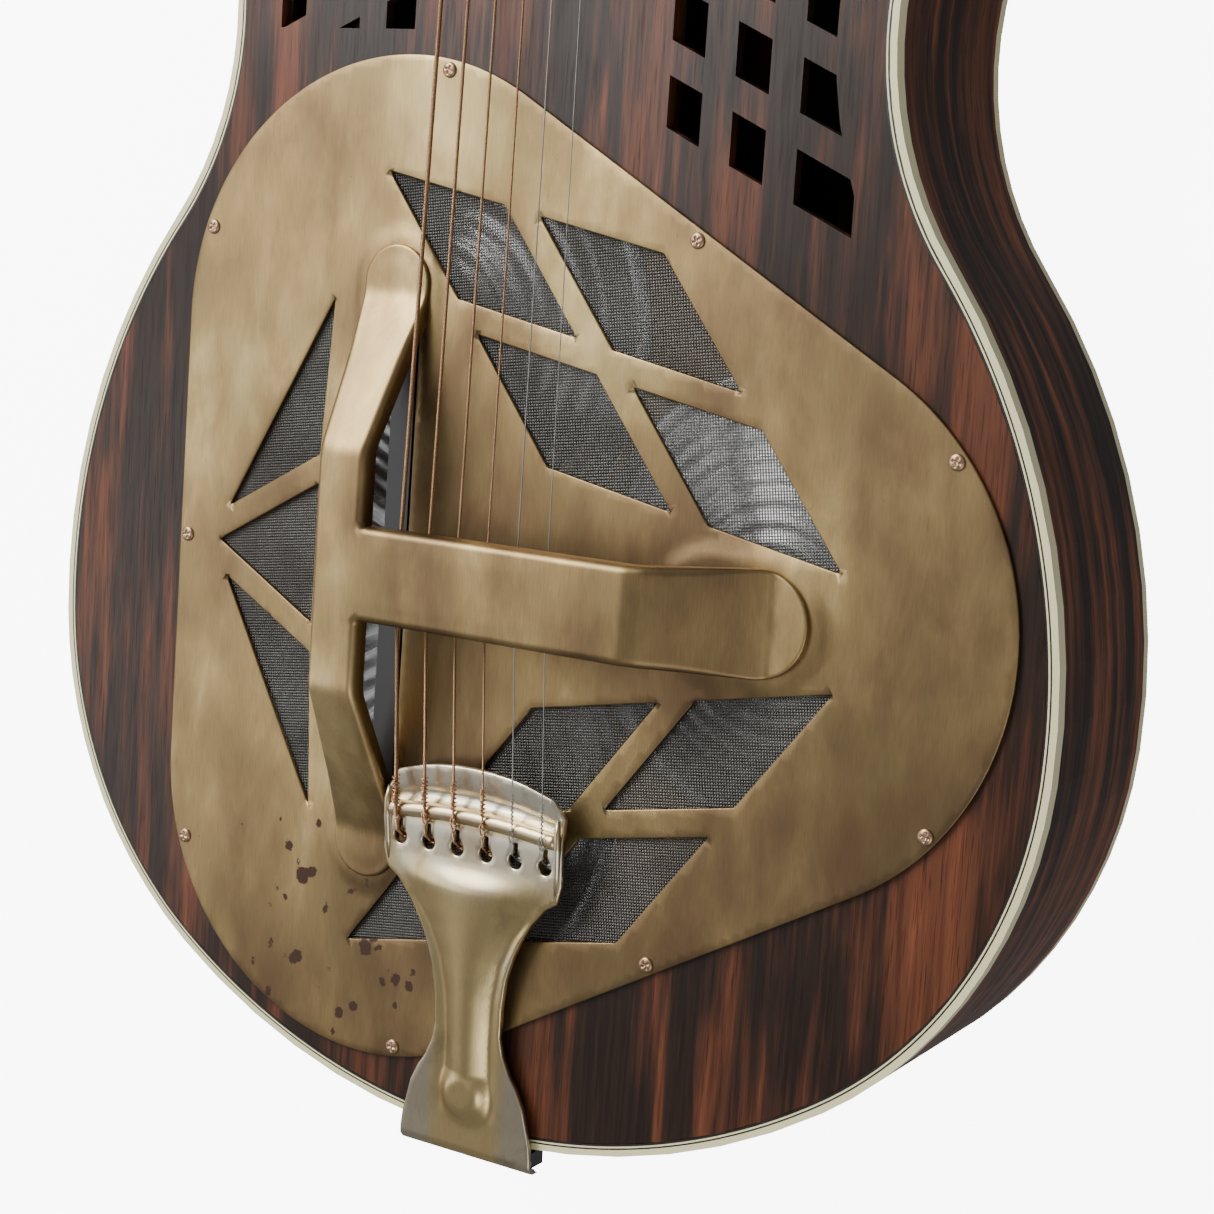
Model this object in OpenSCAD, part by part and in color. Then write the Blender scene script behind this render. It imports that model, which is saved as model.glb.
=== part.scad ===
// Tricone resonator guitar, lying on its flat back.
// X runs from the bass side to the treble side, Y from the tail to the headstock, Z out of the soundboard.
// The origin is on the back plane, straight under the saddle, on the string centreline.

/* [Body] */
// Scale length, from the saddle to the nut
scale_length = 635; // [610:1:650]
// Saddle to the tail end of the body
saddle_to_tail = 183; // [178:1:192]
// Widest part of the lower bout
lower_bout_w = 375; // [365:1:390]
// Width of the waist
waist_w = 243; // [236:1:250]
// Widest part of the upper bout
upper_bout_w = 260; // [250:1:270]
// Depth of the body, from the back to the soundboard
body_depth = 76; // [70:1:92]
// Saddle to the narrowest point of the waist
saddle_to_waist = 176; // [172:1:180]
// Radius of the tail end's arc
tail_radius = 221; // [215:1:230]
// Half angle that the tail end's arc covers
tail_half_angle = 34.5; // [30:0.5:38]
// Radius of the flank between the lower bout and the waist
flank_radius = 217; // [210:1:225]
// Radius of the hollow waist
waist_radius = 111; // [105:1:118]
// Radius of the upper bout
shoulder_radius = 72; // [70:1:76]

/* [Box] */
// Thickness of the soundboard
top_t = 4; // [3:0.5:5]
// Thickness of the back
back_t = 3.5; // [3:0.5:5]
// Thickness of the bent sides
side_t = 2.6; // [2.2:0.1:3]
// Width of the top binding
binding_w = 2.2; // [1.5:0.1:2.2]
// Height of the top binding
binding_h = 5; // [4.5:0.5:7]
// Height of the back binding
back_binding_h = 4; // [4:0.5:6]
// Width of the purfling beside the top binding
purfling_w = 1.8; // [1:0.1:2.5]
// Depth of the purfling
purfling_t = 1; // [0.5:0.1:1.5]
// Width of the glued linings
lining_w = 8; // [6:0.5:10]
// Height of the glued linings
lining_h = 12; // [10:1:14]

/* [Resonator] */
// Distance between the centres of two cones
cone_pitch = 154; // [152:0.5:156]
// Diameter of a cone's rim
cone_d = 150; // [146:0.5:150]
// Height of a cone
cone_h = 19; // [17:0.5:20]
// Sheet thickness of a cone
cone_t = 0.7; // [0.5:0.1:1]
// Centre of the cone triangle, from the string centreline
well_x = -2.3; // [-4:0.1:0]
// Depth of the soundwell's shelf under the soundboard
well_depth = 33; // [31:0.5:34]
// Corner radius of the coverplate
plate_r = 88; // [86:0.5:90]
// Sheet thickness of the coverplate
plate_t = 1.4; // [1:0.1:2]
// Width of the bridge bars
bridge_w = 9; // [7:0.5:10]

/* [Windows] */
// Length of a window side that runs with the first direction
pane_a = 46.4; // [44:0.2:48]
// Length of a window side that runs with the second direction
pane_b = 49.2; // [46:0.2:50]
// Width of the struts between the windows
strut_w = 9; // [7:0.5:11]
// Height of a sound window in the soundboard
vent_h = 16; // [12:0.5:18]
// Width of a sound window in the soundboard
vent_w = 11.6; // [9:0.2:13]

/* [Handrest] */
// Height of the handrest over the soundboard
rest_h = 28; // [27:0.5:32]
// Width of the handrest's long bar
rest_bar_w = 18.6; // [17:0.2:20]
// Width of the handrest's stem
rest_stem_w = 30.4; // [28:0.2:33]
// Sheet thickness of the handrest
rest_sheet = 1.5; // [1:0.1:2]

/* [Strings] */
// String spacing at the saddle
saddle_spacing = 11.2; // [10.4:0.1:11.4]
// String spacing at the nut
nut_spacing = 7.6; // [7:0.1:8]
// Height of the strings over the soundboard at the saddle
saddle_height = 19.3; // [18:0.1:20.5]
// Height of the strings over the soundboard at the nut
nut_height = 13.3; // [13.2:0.1:14]

/* [Neck] */
// Width of the neck at the nut
nut_w = 46; // [44:0.5:50]
// Width of the fingerboard at the body
joint_w = 57; // [55:0.5:60]
// Thickness of the fingerboard
board_t = 6.5; // [5.5:0.5:7]
// Number of frets
fret_count = 19; // [18:1:20]
// Height of a fret over the fingerboard
fret_h = 1; // [0.8:0.1:1.2]
// Angle of the headstock, back from the neck
head_angle = 13; // [10:1:15]
// Thickness of the headstock with its overlay
head_t = 15; // [14:0.5:16]
// Distance between two tuners
tuner_pitch = 42; // [38:1:45]

/* [Hidden] */
$fn = 48;
eps = 0.01;

// Body outline: six tangent arcs for one half, from the tail to the neck.
arc_step = 5;
tail_y = -saddle_to_tail;
neck_y = scale_length / 2;
function on_circle(c, r, a) = c + r * [cos(a), sin(a)];
function arc_points(c, r, a0, a1) =
    let (n = max(2, ceil(abs(a1 - a0) / arc_step)))
    [for (i = [0 : n]) on_circle(c, r, a0 + (a1 - a0) * i / n)];
function angle_of(v) = atan2(v.y, v.x);
tail_end_angle = tail_half_angle - 90;
bout_radius = (lower_bout_w / 2 - tail_radius * cos(tail_end_angle)) / (1 - cos(tail_end_angle));
tail_c = [0, tail_y + tail_radius];
bout_c = on_circle(tail_c, tail_radius - bout_radius, tail_end_angle);
waist_c = [waist_w / 2 + waist_radius, saddle_to_waist];
// The flank's centre is where its distances to the bout's and the waist's centres both fit.
to_bout = flank_radius - bout_radius;
to_waist = flank_radius + waist_radius;
bout_to_waist = waist_c - bout_c;
gap = norm(bout_to_waist);
along = (to_bout * to_bout - to_waist * to_waist + gap * gap) / (2 * gap);
across = sqrt(to_bout * to_bout - along * along);
unit = bout_to_waist / gap;
flank_c = bout_c + along * unit + across * [-unit.y, unit.x];
shoulder_c = let (x = upper_bout_w / 2 - shoulder_radius, reach = waist_radius + shoulder_radius,
                  dx = waist_c.x - x) [x, saddle_to_waist + sqrt(reach * reach - dx * dx)];
crown_radius = let (k = shoulder_c.y - neck_y)
    (shoulder_radius * shoulder_radius - shoulder_c.x * shoulder_c.x - k * k) / (2 * (k + shoulder_radius));
crown_c = [0, neck_y - crown_radius];
flank_start = angle_of(bout_c - flank_c);
flank_end = angle_of(waist_c - flank_c);
waist_end = angle_of(shoulder_c - waist_c);
crown_start = angle_of(shoulder_c - crown_c);
// Half outline with x >= 0, moved inwards by inset.
function half_outline(inset) = concat(
    arc_points(tail_c, tail_radius - inset, -90, tail_end_angle),
    arc_points(bout_c, bout_radius - inset, tail_end_angle, flank_start),
    arc_points(flank_c, flank_radius - inset, flank_start, flank_end),
    arc_points(waist_c, waist_radius + inset, flank_end + 180, waist_end),
    arc_points(shoulder_c, shoulder_radius - inset, waist_end - 180, crown_start),
    arc_points(crown_c, crown_radius - inset, crown_start, 90));
// Neighbouring arcs share their end points, so the doubled ones are left out.
function without_doubles(p) = [for (i = [0 : len(p) - 1]) if (i == 0 || norm(p[i] - p[i - 1]) > eps) p[i]];
function body_outline(inset) =
    let (h = without_doubles(half_outline(inset)), n = len(h))
    concat(h, [for (i = [n - 2 : -1 : 1]) [-h[i].x, h[i].y]]);

// Heights
z_top = body_depth;
z_plate = z_top + plate_t;
z_shelf = z_top - well_depth;
z_cap = z_shelf + cone_h;
bridge_foot = 3;
bridge_h = 7.5;
z_bridge = z_cap + bridge_foot + bridge_h;
z_saddle = z_top + saddle_height;
z_nut = z_top + nut_height;
z_fret = z_nut - 0.4;
z_board = z_fret - fret_h;
z_neck = z_board - board_t;

// Cone triangle: one corner on the treble side, two on the bass side
circum = cone_pitch / sqrt(3);
treble_c = [well_x + circum, 0];
upper_c = [well_x - circum / 2, cone_pitch / 2];
lower_c = [well_x - circum / 2, -cone_pitch / 2];
corners = [treble_c, upper_c, lower_c];
bar_x = upper_c.x;

module ring(inset0, inset1, z0, z1) {
    translate([0, 0, z0]) linear_extrude(z1 - z0) difference() {
        polygon(body_outline(inset0));
        polygon(body_outline(inset1));
    }
}
// The cone triangle's outline with corners of radius r
module rounded_triangle(r) {
    polygon([for (k = [0 : 2]) each arc_points(corners[k], r, 120 * k - 60, 120 * k + 60)]);
}
// A slab of a box between two corners
module block(p0, p1) {
    translate(p0) cube(p1 - p0);
}

// ---- Box ----
block_w = 60;
neck_block_l = 40;
tail_block_l = 17;
stick_w = 30;
stick_z = [12, 34];
back_brace_y = [-128, 60, 215];
brace_h = 8;
module box_half(side) {
    far = lower_bout_w;
    x0 = side > 0 ? 0 : -far;
    translate([x0, -far, 0]) cube([far, 2 * far, body_depth]);
}
module side_shell(side) {
    color([0.17, 0.09, 0.06]) difference() {
        intersection() {
            ring(0, side_t, back_binding_h, z_top - binding_h);
            box_half(side);
        }
        bracket_screw_holes();
        strap_button_hole();
    }
}
module side_bass() { side_shell(-1); }
module side_treble() { side_shell(1); }
module back_panel() {
    color([0.17, 0.09, 0.06]) linear_extrude(back_t) polygon(body_outline(binding_w));
}
module back_binding() {
    color([0.93, 0.92, 0.72]) ring(0, binding_w, 0, back_binding_h);
}
module top_binding() {
    color([0.93, 0.92, 0.72]) ring(0, binding_w, z_top - binding_h, z_top);
}
module top_purfling() {
    color([0.12, 0.1, 0.08]) ring(binding_w, binding_w + purfling_w, z_top - purfling_t, z_top);
}
module top_lining() {
    color([0.75, 0.6, 0.4]) difference() {
        ring(side_t, side_t + lining_w, z_top - top_t - lining_h, z_top - top_t);
        block([-block_w / 2, -400, 0], [block_w / 2, 400, body_depth]);
    }
}
module back_lining() {
    color([0.75, 0.6, 0.4]) difference() {
        ring(side_t, side_t + lining_w, back_t, back_t + lining_h);
        block([-block_w / 2, -400, 0], [block_w / 2, 400, body_depth]);
    }
}
module back_braces() {
    color([0.78, 0.63, 0.42]) for (y = back_brace_y) translate([0, 0, back_t]) linear_extrude(brace_h)
        intersection() {
            polygon(body_outline(side_t + lining_w));
            translate([-200, y - 4]) square([400, 8]);
        }
}
module inside_block(y0, y1) {
    translate([0, 0, back_t]) linear_extrude(z_top - top_t - back_t) intersection() {
        polygon(body_outline(side_t));
        translate([-block_w / 2, y0]) square([block_w, y1 - y0]);
    }
}
module neck_block() {
    color([0.7, 0.52, 0.34]) inside_block(neck_y - neck_block_l, neck_y);
}
module tail_block() {
    color([0.7, 0.52, 0.34]) difference() {
        inside_block(tail_y, tail_y + side_t + tail_block_l);
        bracket_screw_holes();
        strap_button_hole();
    }
}
module neck_stick() {
    color([0.74, 0.56, 0.37])
        block([-stick_w / 2, tail_y + side_t + tail_block_l, stick_z[0]],
              [stick_w / 2, neck_y - neck_block_l, stick_z[1]]);
}
module top_panel() {
    color([0.2, 0.1, 0.07]) difference() {
        translate([0, 0, z_top - top_t]) linear_extrude(top_t) difference() {
            polygon(body_outline(binding_w));
            rounded_triangle(plate_r - 8);
            sound_vents(1);
            sound_vents(-1);
            for (p = plate_screws) translate(p) circle(plate_screw_r, $fn = 16);
        }
        translate([0, 0, z_top - purfling_t]) linear_extrude(top_t) difference() {
            polygon(body_outline(binding_w));
            polygon(body_outline(binding_w + purfling_w));
        }
    }
}

// Sound windows: three columns beside the fingerboard, with rows that fall away outwards
vent_pitch_x = 22.3;
vent_pitch_y = 26.4;
vent_x0 = 47.8;
vent_y0 = 160.5;
vent_slope = tan(-24.5);
vent_rows = 5;
vent_top_y = 262;
module vent(x0, x1, y, h) {
    polygon([[x0, y], [x1, y + (x1 - x0) * vent_slope],
             [x1, y - h + (x1 - x0) * vent_slope], [x0, y - h]]);
}
module sound_vents(side) {
    mirror([side > 0 ? 0 : 1, 0]) intersection() {
        union() for (i = [0 : 2]) for (j = [-1 : vent_rows - 1]) {
            x = vent_x0 + i * vent_pitch_x;
            y = vent_y0 + i * vent_pitch_x * vent_slope + j * vent_pitch_y;
            vent(x, x + vent_w + (i == 2 ? 8 : 0), y, vent_h);
        }
        difference() {
            polygon(body_outline(19));
            translate([-200, -400]) square([400, 400 + (side > 0 ? 60 : 173)]);
            vent_floor();
            translate([-200, vent_top_y]) square([400, 200]);
        }
    }
}
// The lowest edge of the sound windows runs with the coverplate's side.
module vent_floor() {
    polygon([[0, 168], [56, 141], [70.2, 134.3], [82, 128], [110.5, 114.4], [150, 80], [0, 0]]);
}

// ---- Soundwell, cones and bridge ----
well_wall = 3;
shelf_t = 6;
well_r = plate_r - 4;
module soundwell() {
    color([0.68, 0.52, 0.34]) union() {
        translate([0, 0, z_shelf - shelf_t]) linear_extrude(shelf_t) difference() {
            rounded_triangle(well_r);
            for (c = corners) translate(c) circle(cone_d / 2 - 8, $fn = 96);
        }
        translate([0, 0, z_shelf - eps]) linear_extrude(z_top - top_t - z_shelf + eps) difference() {
            rounded_triangle(well_r);
            rounded_triangle(well_r - well_wall);
        }
    }
}
module well_posts() {
    color([0.74, 0.58, 0.4]) for (k = [0 : 2]) {
        p = on_circle((corners[k] + corners[(k + 1) % 3]) / 2, well_r - 12, 120 * k + 60);
        translate([p.x, p.y, back_t]) cylinder(r = 6, h = z_shelf - shelf_t - back_t);
    }
}
cone_cap_r = 11;
cone_flat_r = cone_d / 2 - 6;
function cone_line(t) = [cone_flat_r + (cone_cap_r - cone_flat_r) * t, z_shelf + cone_h * t];
cone_grooves = [0.22, 0.44, 0.66];
groove_h = 0.9;
module cone(c) {
    up = [0, cone_t];
    wave = [for (g = cone_grooves)
        each [cone_line(g - 0.03), cone_line(g) + [0, groove_h], cone_line(g + 0.03)]];
    line = concat([[cone_d / 2, z_shelf], [cone_flat_r, z_shelf]], wave,
                  [[cone_cap_r, z_cap - cone_t], [0, z_cap - cone_t]]);
    n = len(line);
    color([0.8, 0.81, 0.82]) translate([c.x, c.y, 0]) rotate_extrude($fn = 96)
        polygon(concat(line, [for (i = [n - 1 : -1 : 0]) line[i] + up]));
}
module cone_treble() { cone(treble_c); }
module cone_bass_upper() { cone(upper_c); }
module cone_bass_lower() { cone(lower_c); }
saddle_l = 66;
saddle_w = 4.5;
saddle_sink = 3;
module t_bridge() {
    z0 = z_cap + bridge_foot;
    half_w = bridge_w / 2;
    color([0.08, 0.08, 0.08]) difference() {
        union() {
            for (c = corners) translate([c.x, c.y, z_cap])
                cylinder(r = bridge_w / 2 + 1, h = bridge_foot + 1);
            block([bar_x - half_w, lower_c.y - 3, z0], [bar_x + half_w, upper_c.y + 3, z_bridge]);
            block([bar_x, -half_w, z0], [treble_c.x + 3, half_w, z_bridge]);
        }
        saddle_slot(z_bridge + 1);
    }
}
// The saddle's own block, from its slot in the bridge up to z1
module saddle_slot(z1) {
    block([-saddle_l / 2, -saddle_w / 2, z_bridge - saddle_sink], [saddle_l / 2, saddle_w / 2, z1]);
}
module saddle() {
    color([0.9, 0.86, 0.72]) difference() {
        saddle_slot(z_saddle + 0.8);
        for (i = [0 : 5]) {
            r = gauge(i);
            translate([string_x(i, saddle_spacing) - r, -saddle_w, z_saddle - r - 0.3])
                cube([2 * r, 2 * saddle_w, 10]);
        }
    }
}

// ---- Coverplate ----
screw_inset = 3.5;
plate_screw_r = 1.4;
screw_head_r = 2.6;
plate_screws = concat(
    [for (k = [0 : 2]) for (s = [-40, 40]) on_circle(corners[k], plate_r - screw_inset, 120 * k + s)],
    [for (k = [0 : 2]) on_circle((corners[k] + corners[(k + 1) % 3]) / 2,
                                 plate_r - screw_inset, 120 * k + 60)]);
// Two-by-two group of panes beside a side of the plate
pane_angle_a = -11.2;
pane_angle_b = -52.9;
pane_centre = [32.3, 72.8];
dir_a = [cos(pane_angle_a), sin(pane_angle_a)];
dir_b = [cos(pane_angle_b), sin(pane_angle_b)];
pane_skew = sin(pane_angle_a - pane_angle_b);
pitch_a = pane_a + strut_w / pane_skew;
pitch_b = pane_b + strut_w / pane_skew;
// A parallelogram round centre that reaches a and b along the two directions
module pane(centre, a, b) {
    polygon([for (s = [[-1, -1], [1, -1], [1, 1], [-1, 1]]) centre + s.x * dir_a * a + s.y * dir_b * b]);
}
module pane_group() {
    for (i = [-0.5, 0.5]) for (j = [-0.5, 0.5])
        pane(pane_centre + i * pitch_a * dir_a + j * pitch_b * dir_b, pane_a / 2, pane_b / 2);
}
// Three panes on the bass side, under the long bar of the handrest
bass_edge_x = -76;
bass_tip_x = -117;
bass_top = [-73, 85.5];
bass_left = [-113.5, 12];
bass_slope = 0.57;
module bass_panes() {
    middle_rise = (bass_edge_x - bass_tip_x) * bass_slope;
    outer_rise = (bass_edge_x - bass_left.x) * bass_slope;
    polygon([[bass_tip_x, 0], [bass_edge_x, middle_rise], [bass_edge_x, -middle_rise]]);
    for (s = [0, 1]) mirror([0, s]) polygon([bass_left, [bass_edge_x, bass_left.y + outer_rise], bass_top]);
}
// Slot for the bridge, all of it under the handrest
slot_x = [bar_x - 11, -38];
slot_half = 86;
stem_slot = 16;
module bridge_slot() {
    translate([slot_x[0], -slot_half]) square([slot_x[1] - slot_x[0], 2 * slot_half]);
    translate([slot_x[0], -stem_slot / 2]) square([rest_pad_x - slot_x[0], stem_slot]);
}
module coverplate() {
    color([0.58, 0.47, 0.3]) translate([0, 0, z_top]) linear_extrude(plate_t) difference() {
        rounded_triangle(plate_r);
        pane_group();
        mirror([0, 1]) pane_group();
        bass_panes();
        bridge_slot();
        for (p = plate_screws) translate(p) circle(plate_screw_r, $fn = 16);
    }
}
module coverplate_screws() {
    color([0.6, 0.45, 0.33]) for (p = plate_screws) translate([p.x, p.y, 0]) {
        translate([0, 0, z_top - top_t]) cylinder(r = plate_screw_r, h = top_t + plate_t + eps, $fn = 16);
        translate([0, 0, z_plate]) cylinder(r1 = screw_head_r, r2 = screw_head_r - 0.8, h = 1, $fn = 24);
    }
}
screen_t = 0.5;
screen_margin = 5;
module screen_sheet() {
    color([0.22, 0.22, 0.22]) translate([0, 0, z_top - screen_t]) linear_extrude(screen_t) children();
}
module screen_group() {
    intersection() {
        pane(pane_centre, (pitch_a + pane_a) / 2 + screen_margin, (pitch_b + pane_b) / 2 + screen_margin);
        rounded_triangle(plate_r - 8.5);
        translate([-100, stem_slot / 2 + 1]) square([300, 200]);
    }
}
module screen_upper() { screen_sheet() screen_group(); }
module screen_lower() { screen_sheet() mirror([0, 1]) screen_group(); }
module screen_bass() {
    screen_sheet() polygon([[bass_tip_x - 6, 0], [bass_top.x - 4, bass_top.y + 12],
                            [bass_top.x + 5, bass_top.y + 4], [bass_top.x + 5, -bass_top.y - 4],
                            [bass_top.x - 4, -bass_top.y - 12]]);
}

// ---- Handrest: a pressed T of sheet with turned-down edges ----
z_rest = z_top + rest_h;
pad_rise = 2.6;
rest_wall = 6.5;
rest_pad_x = 93;
rest_pad_r = 16.7;
bar_pad_y = 92;
bar_pad_r = 12.5;
bar_flat = 39;
stem_flat = 63;
step_drop = 1.2;
// Side view of the bar and of the stem, as heights of the top face; drop lowers it
function bar_profile(drop) = let (pad = z_plate + pad_rise) [
    [-bar_pad_y - bar_pad_r, pad - drop], [-bar_pad_y + 4, pad - drop], [-bar_flat, z_rest - drop],
    [bar_flat, z_rest - drop], [bar_pad_y - 4, pad - drop], [bar_pad_y + bar_pad_r, pad - drop]];
function stem_profile(drop) = let (pad = z_plate + pad_rise) [
    [bar_x, z_rest - drop], [stem_flat - 3, z_rest - drop], [stem_flat, z_rest - step_drop - drop],
    [rest_pad_x + 4, pad - drop], [rest_pad_x + rest_pad_r, pad - drop]];
function band(top, bottom) = concat(top, [for (i = [len(bottom) - 1 : -1 : 0]) bottom[i]]);
module bar_solid(inset, top_drop, bottom_drop) {
    w = rest_bar_w / 2 - inset;
    pad = bar_pad_r - inset;
    intersection() {
        translate([bar_x - 50, 0, 0]) rotate([90, 0, 90]) linear_extrude(100)
            polygon(band(bar_profile(top_drop), bar_profile(bottom_drop)));
        translate([bar_x, 0, 0]) linear_extrude(200) union() {
            polygon([[-w, -bar_flat], [-pad, -bar_pad_y], [pad, -bar_pad_y], [w, -bar_flat],
                     [w, bar_flat], [pad, bar_pad_y], [-pad, bar_pad_y], [-w, bar_flat]]);
            for (s = [-1, 1]) translate([0, s * bar_pad_y]) circle(pad);
        }
    }
}
module stem_solid(inset, top_drop, bottom_drop) {
    w = rest_stem_w / 2 - inset;
    pad = rest_pad_r - inset;
    intersection() {
        translate([0, 50, 0]) rotate([90, 0, 0]) linear_extrude(100)
            polygon(band(stem_profile(top_drop), stem_profile(bottom_drop)));
        linear_extrude(200) union() {
            polygon([[bar_x, -w], [stem_flat, -w], [rest_pad_x, -pad],
                     [rest_pad_x, pad], [stem_flat, w], [bar_x, w]]);
            translate([rest_pad_x, 0]) circle(pad);
        }
    }
}
module handrest() {
    color([0.62, 0.51, 0.33]) intersection() {
        difference() {
            union() {
                bar_solid(0, 0, rest_wall);
                stem_solid(0, 0, rest_wall);
            }
            bar_solid(rest_sheet, rest_sheet, rest_wall + 5);
            stem_solid(rest_sheet, rest_sheet, rest_wall + 5);
        }
        translate([-200, -200, z_plate]) cube([400, 400, 60]);
    }
}

// ---- Tailpiece on its hinge ----
tail_sheet = 1.8;
hinge_r = 2.8;
hinge_y = tail_y - hinge_r - 0.9;
hinge_z = z_top + 0.7;
pin_r = 1.2;
pin_fit = 0.05;
knuckle_half = 12.5;
knuckle_gap = 0.3;
bracket_half = 24;
roll_r = 2.6;
roll_y = -76;
roll_z = z_top + 10.5;
hole_y = -86;
hole_r = 2.6;
slit_w = 1.8;
// Side view of the plate's top face, from the hinge to the front lip
tail_profile = [[hinge_y, hinge_z + hinge_r], [-178, z_top + 3.7], [-150, z_top + 5.6], [-100, z_top + 9.2],
                [-80, z_top + 10.2], [-70, z_top + 9.4], [-61, z_top + 12]];
// Half widths along the plate, from the hinge to the front lip
tail_half = [[25.6, hinge_y], [25.2, -180], [22.2, -168], [19.3, -162], [16.6, -158], [14, -152],
             [12.8, -146], [13.2, -136], [14.6, -126], [17.2, -118], [20, -112], [23.5, -106],
             [28.5, -100], [33, -97], [34.5, -91], [34, -70], [30, -64], [20, -61]];
function lowered(p, d) = [for (q = p) [q.x, q.y - d]];
module tailpiece() {
    color([0.7, 0.62, 0.44]) difference() {
        union() {
            intersection() {
                translate([-50, 0, 0]) rotate([90, 0, 90]) linear_extrude(100)
                    polygon(band(tail_profile, lowered(tail_profile, tail_sheet)));
                linear_extrude(200) polygon(concat(tail_half, other_half(tail_half)));
            }
            translate([-33, roll_y, roll_z - 1]) rotate([0, 90, 0]) cylinder(r = roll_r, h = 66, $fn = 32);
            translate([-knuckle_half, hinge_y, hinge_z]) rotate([0, 90, 0])
                cylinder(r = hinge_r, h = 2 * knuckle_half);
        }
        for (i = [0 : 5]) translate([string_x(i, saddle_spacing), hole_y, z_top]) {
            cylinder(r = hole_r, h = 30, $fn = 24);
            translate([-slit_w / 2, 0, 0]) cube([slit_w, 6, 30]);
        }
        translate([-50, hinge_y, hinge_z]) rotate([0, 90, 0]) cylinder(r = pin_r + pin_fit, h = 100);
        // Room for the bracket's knuckles
        for (s = [0, 1]) mirror([s, 0, 0]) block([knuckle_half, hinge_y - 5, hinge_z - 5],
            [bracket_half + 5, hinge_y + 4, hinge_z + hinge_r - tail_sheet / 2]);
    }
}
module tailpiece_bracket() {
    knuckle_r = hinge_r - 1.2;
    color([0.1, 0.1, 0.1]) difference() {
        union() {
            intersection() {
                ring(-bracket_face, 0, 34, hinge_z - hinge_r - 0.4);
                block([-bracket_half, tail_y - 5, 0], [bracket_half, tail_y + 10, 100]);
            }
            for (s = [0, 1]) mirror([s, 0, 0]) {
                translate([knuckle_half + knuckle_gap, hinge_y, hinge_z]) rotate([0, 90, 0])
                    cylinder(r = knuckle_r, h = bracket_half - knuckle_half - knuckle_gap);
                block([knuckle_half + knuckle_gap, hinge_y - knuckle_r, hinge_z - 8],
                      [bracket_half, tail_y - 0.2, hinge_z]);
            }
        }
        translate([-50, hinge_y, hinge_z]) rotate([0, 90, 0]) cylinder(r = pin_r, h = 100);
        bracket_screw_holes();
        translate([0, 0, -eps]) linear_extrude(z_top + 1) polygon(body_outline(0));
    }
}
module tailpiece_hinge_pin() {
    color([0.15, 0.15, 0.15]) translate([-bracket_half, hinge_y, hinge_z]) rotate([0, 90, 0])
        cylinder(r = pin_r, h = 2 * bracket_half);
}
bracket_screws = [[-15, 58], [15, 58], [0, 44]];
bracket_screw_r = 1.6;
bracket_face = 1.6;
function tail_face_y(x, out) = tail_c.y - sqrt((tail_radius + out) * (tail_radius + out) - x * x);
module bracket_screw_holes() {
    for (p = bracket_screws) translate([p.x, tail_y + 14, p.y]) rotate([90, 0, 0])
        cylinder(r = bracket_screw_r, h = 30, $fn = 24);
}
module tailpiece_screws() {
    color([0.2, 0.2, 0.2]) for (p = bracket_screws) {
        y = tail_face_y(max(abs(p.x) - 3, 0), bracket_face);
        translate([p.x, tail_y + 14, p.y]) rotate([90, 0, 0])
            cylinder(r = bracket_screw_r, h = tail_y + 14 - y, $fn = 24);
        translate([p.x, y + eps, p.y]) rotate([90, 0, 0]) cylinder(r1 = 3, r2 = 2.2, h = 1.2, $fn = 24);
    }
}
strap_z = 20;
strap_r = 3.5;
module strap_button_hole() {
    translate([0, tail_y + 14, strap_z]) rotate([90, 0, 0]) cylinder(r = strap_r, h = 30);
}
module strap_button() {
    color([0.75, 0.68, 0.5]) translate([0, tail_y, strap_z]) rotate([90, 0, 0]) {
        translate([0, 0, -14]) cylinder(r = strap_r, h = 14.1);
        rotate_extrude() polygon([[0, 0], [6, 0], [6, 1], [4, 3], [3.6, 6], [4.6, 9],
                                  [6.5, 10], [6.5, 12], [5, 13.5], [0, 14]]);
    }
}

// ---- Strings ----
gauges = [0.7, 0.55, 0.43, 0.34, 0.21, 0.17];
function gauge(i) = gauges[i];
function string_x(i, spacing) = (i - 2.5) * spacing;
module string_run(points, r) {
    for (i = [0 : len(points) - 2]) hull() for (k = [0, 1]) translate(points[i + k]) sphere(r, $fn = 8);
}
module guitar_string(i) {
    r = gauge(i);
    xs = string_x(i, saddle_spacing);
    over_roll = [xs, roll_y, roll_z - 1 + roll_r + r + 0.1];
    ball = [xs, hole_y, z_top + 5.4];
    string_run([ball, [xs, hole_y + 1.2, z_top + 11.5], over_roll, [xs, 0, z_saddle],
                [string_x(i, nut_spacing), scale_length, z_nut], string_end(i)], r);
    translate([ball.x - 1.9, ball.y, ball.z]) rotate([0, 90, 0]) cylinder(r = 1.9, h = 3.8, $fn = 12);
}
module wound_strings() {
    color([0.8, 0.55, 0.4]) for (i = [0 : 3]) guitar_string(i);
}
module plain_strings() {
    color([0.75, 0.75, 0.75]) for (i = [4, 5]) guitar_string(i);
}

// ---- Neck ----
board_end_fret = fret_count + 0.6;
function fret_y(n) = scale_length / pow(2, n / 12);
board_y0 = fret_y(board_end_fret);
function board_w(y) = nut_w + (joint_w - nut_w) * (scale_length - y) / (scale_length - neck_y);
nut_t = 5;
head_y = scale_length + nut_t;
head_z = z_board - 3.5;
heel_z = 8;
overlay_t = 2;
head_wood = head_t - overlay_t;
module head_frame() {
    translate([0, head_y, head_z]) rotate([-head_angle, 0, 0]) children();
}
head_half = [[nut_w / 2, 0], [nut_w / 2 + 1, 8], [30, 22], [34, 34], [36, 60], [36.5, 120],
             [38, 152], [34, 166], [20, 172], [8, 175]];
head_hollow = [0, 171];
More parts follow.
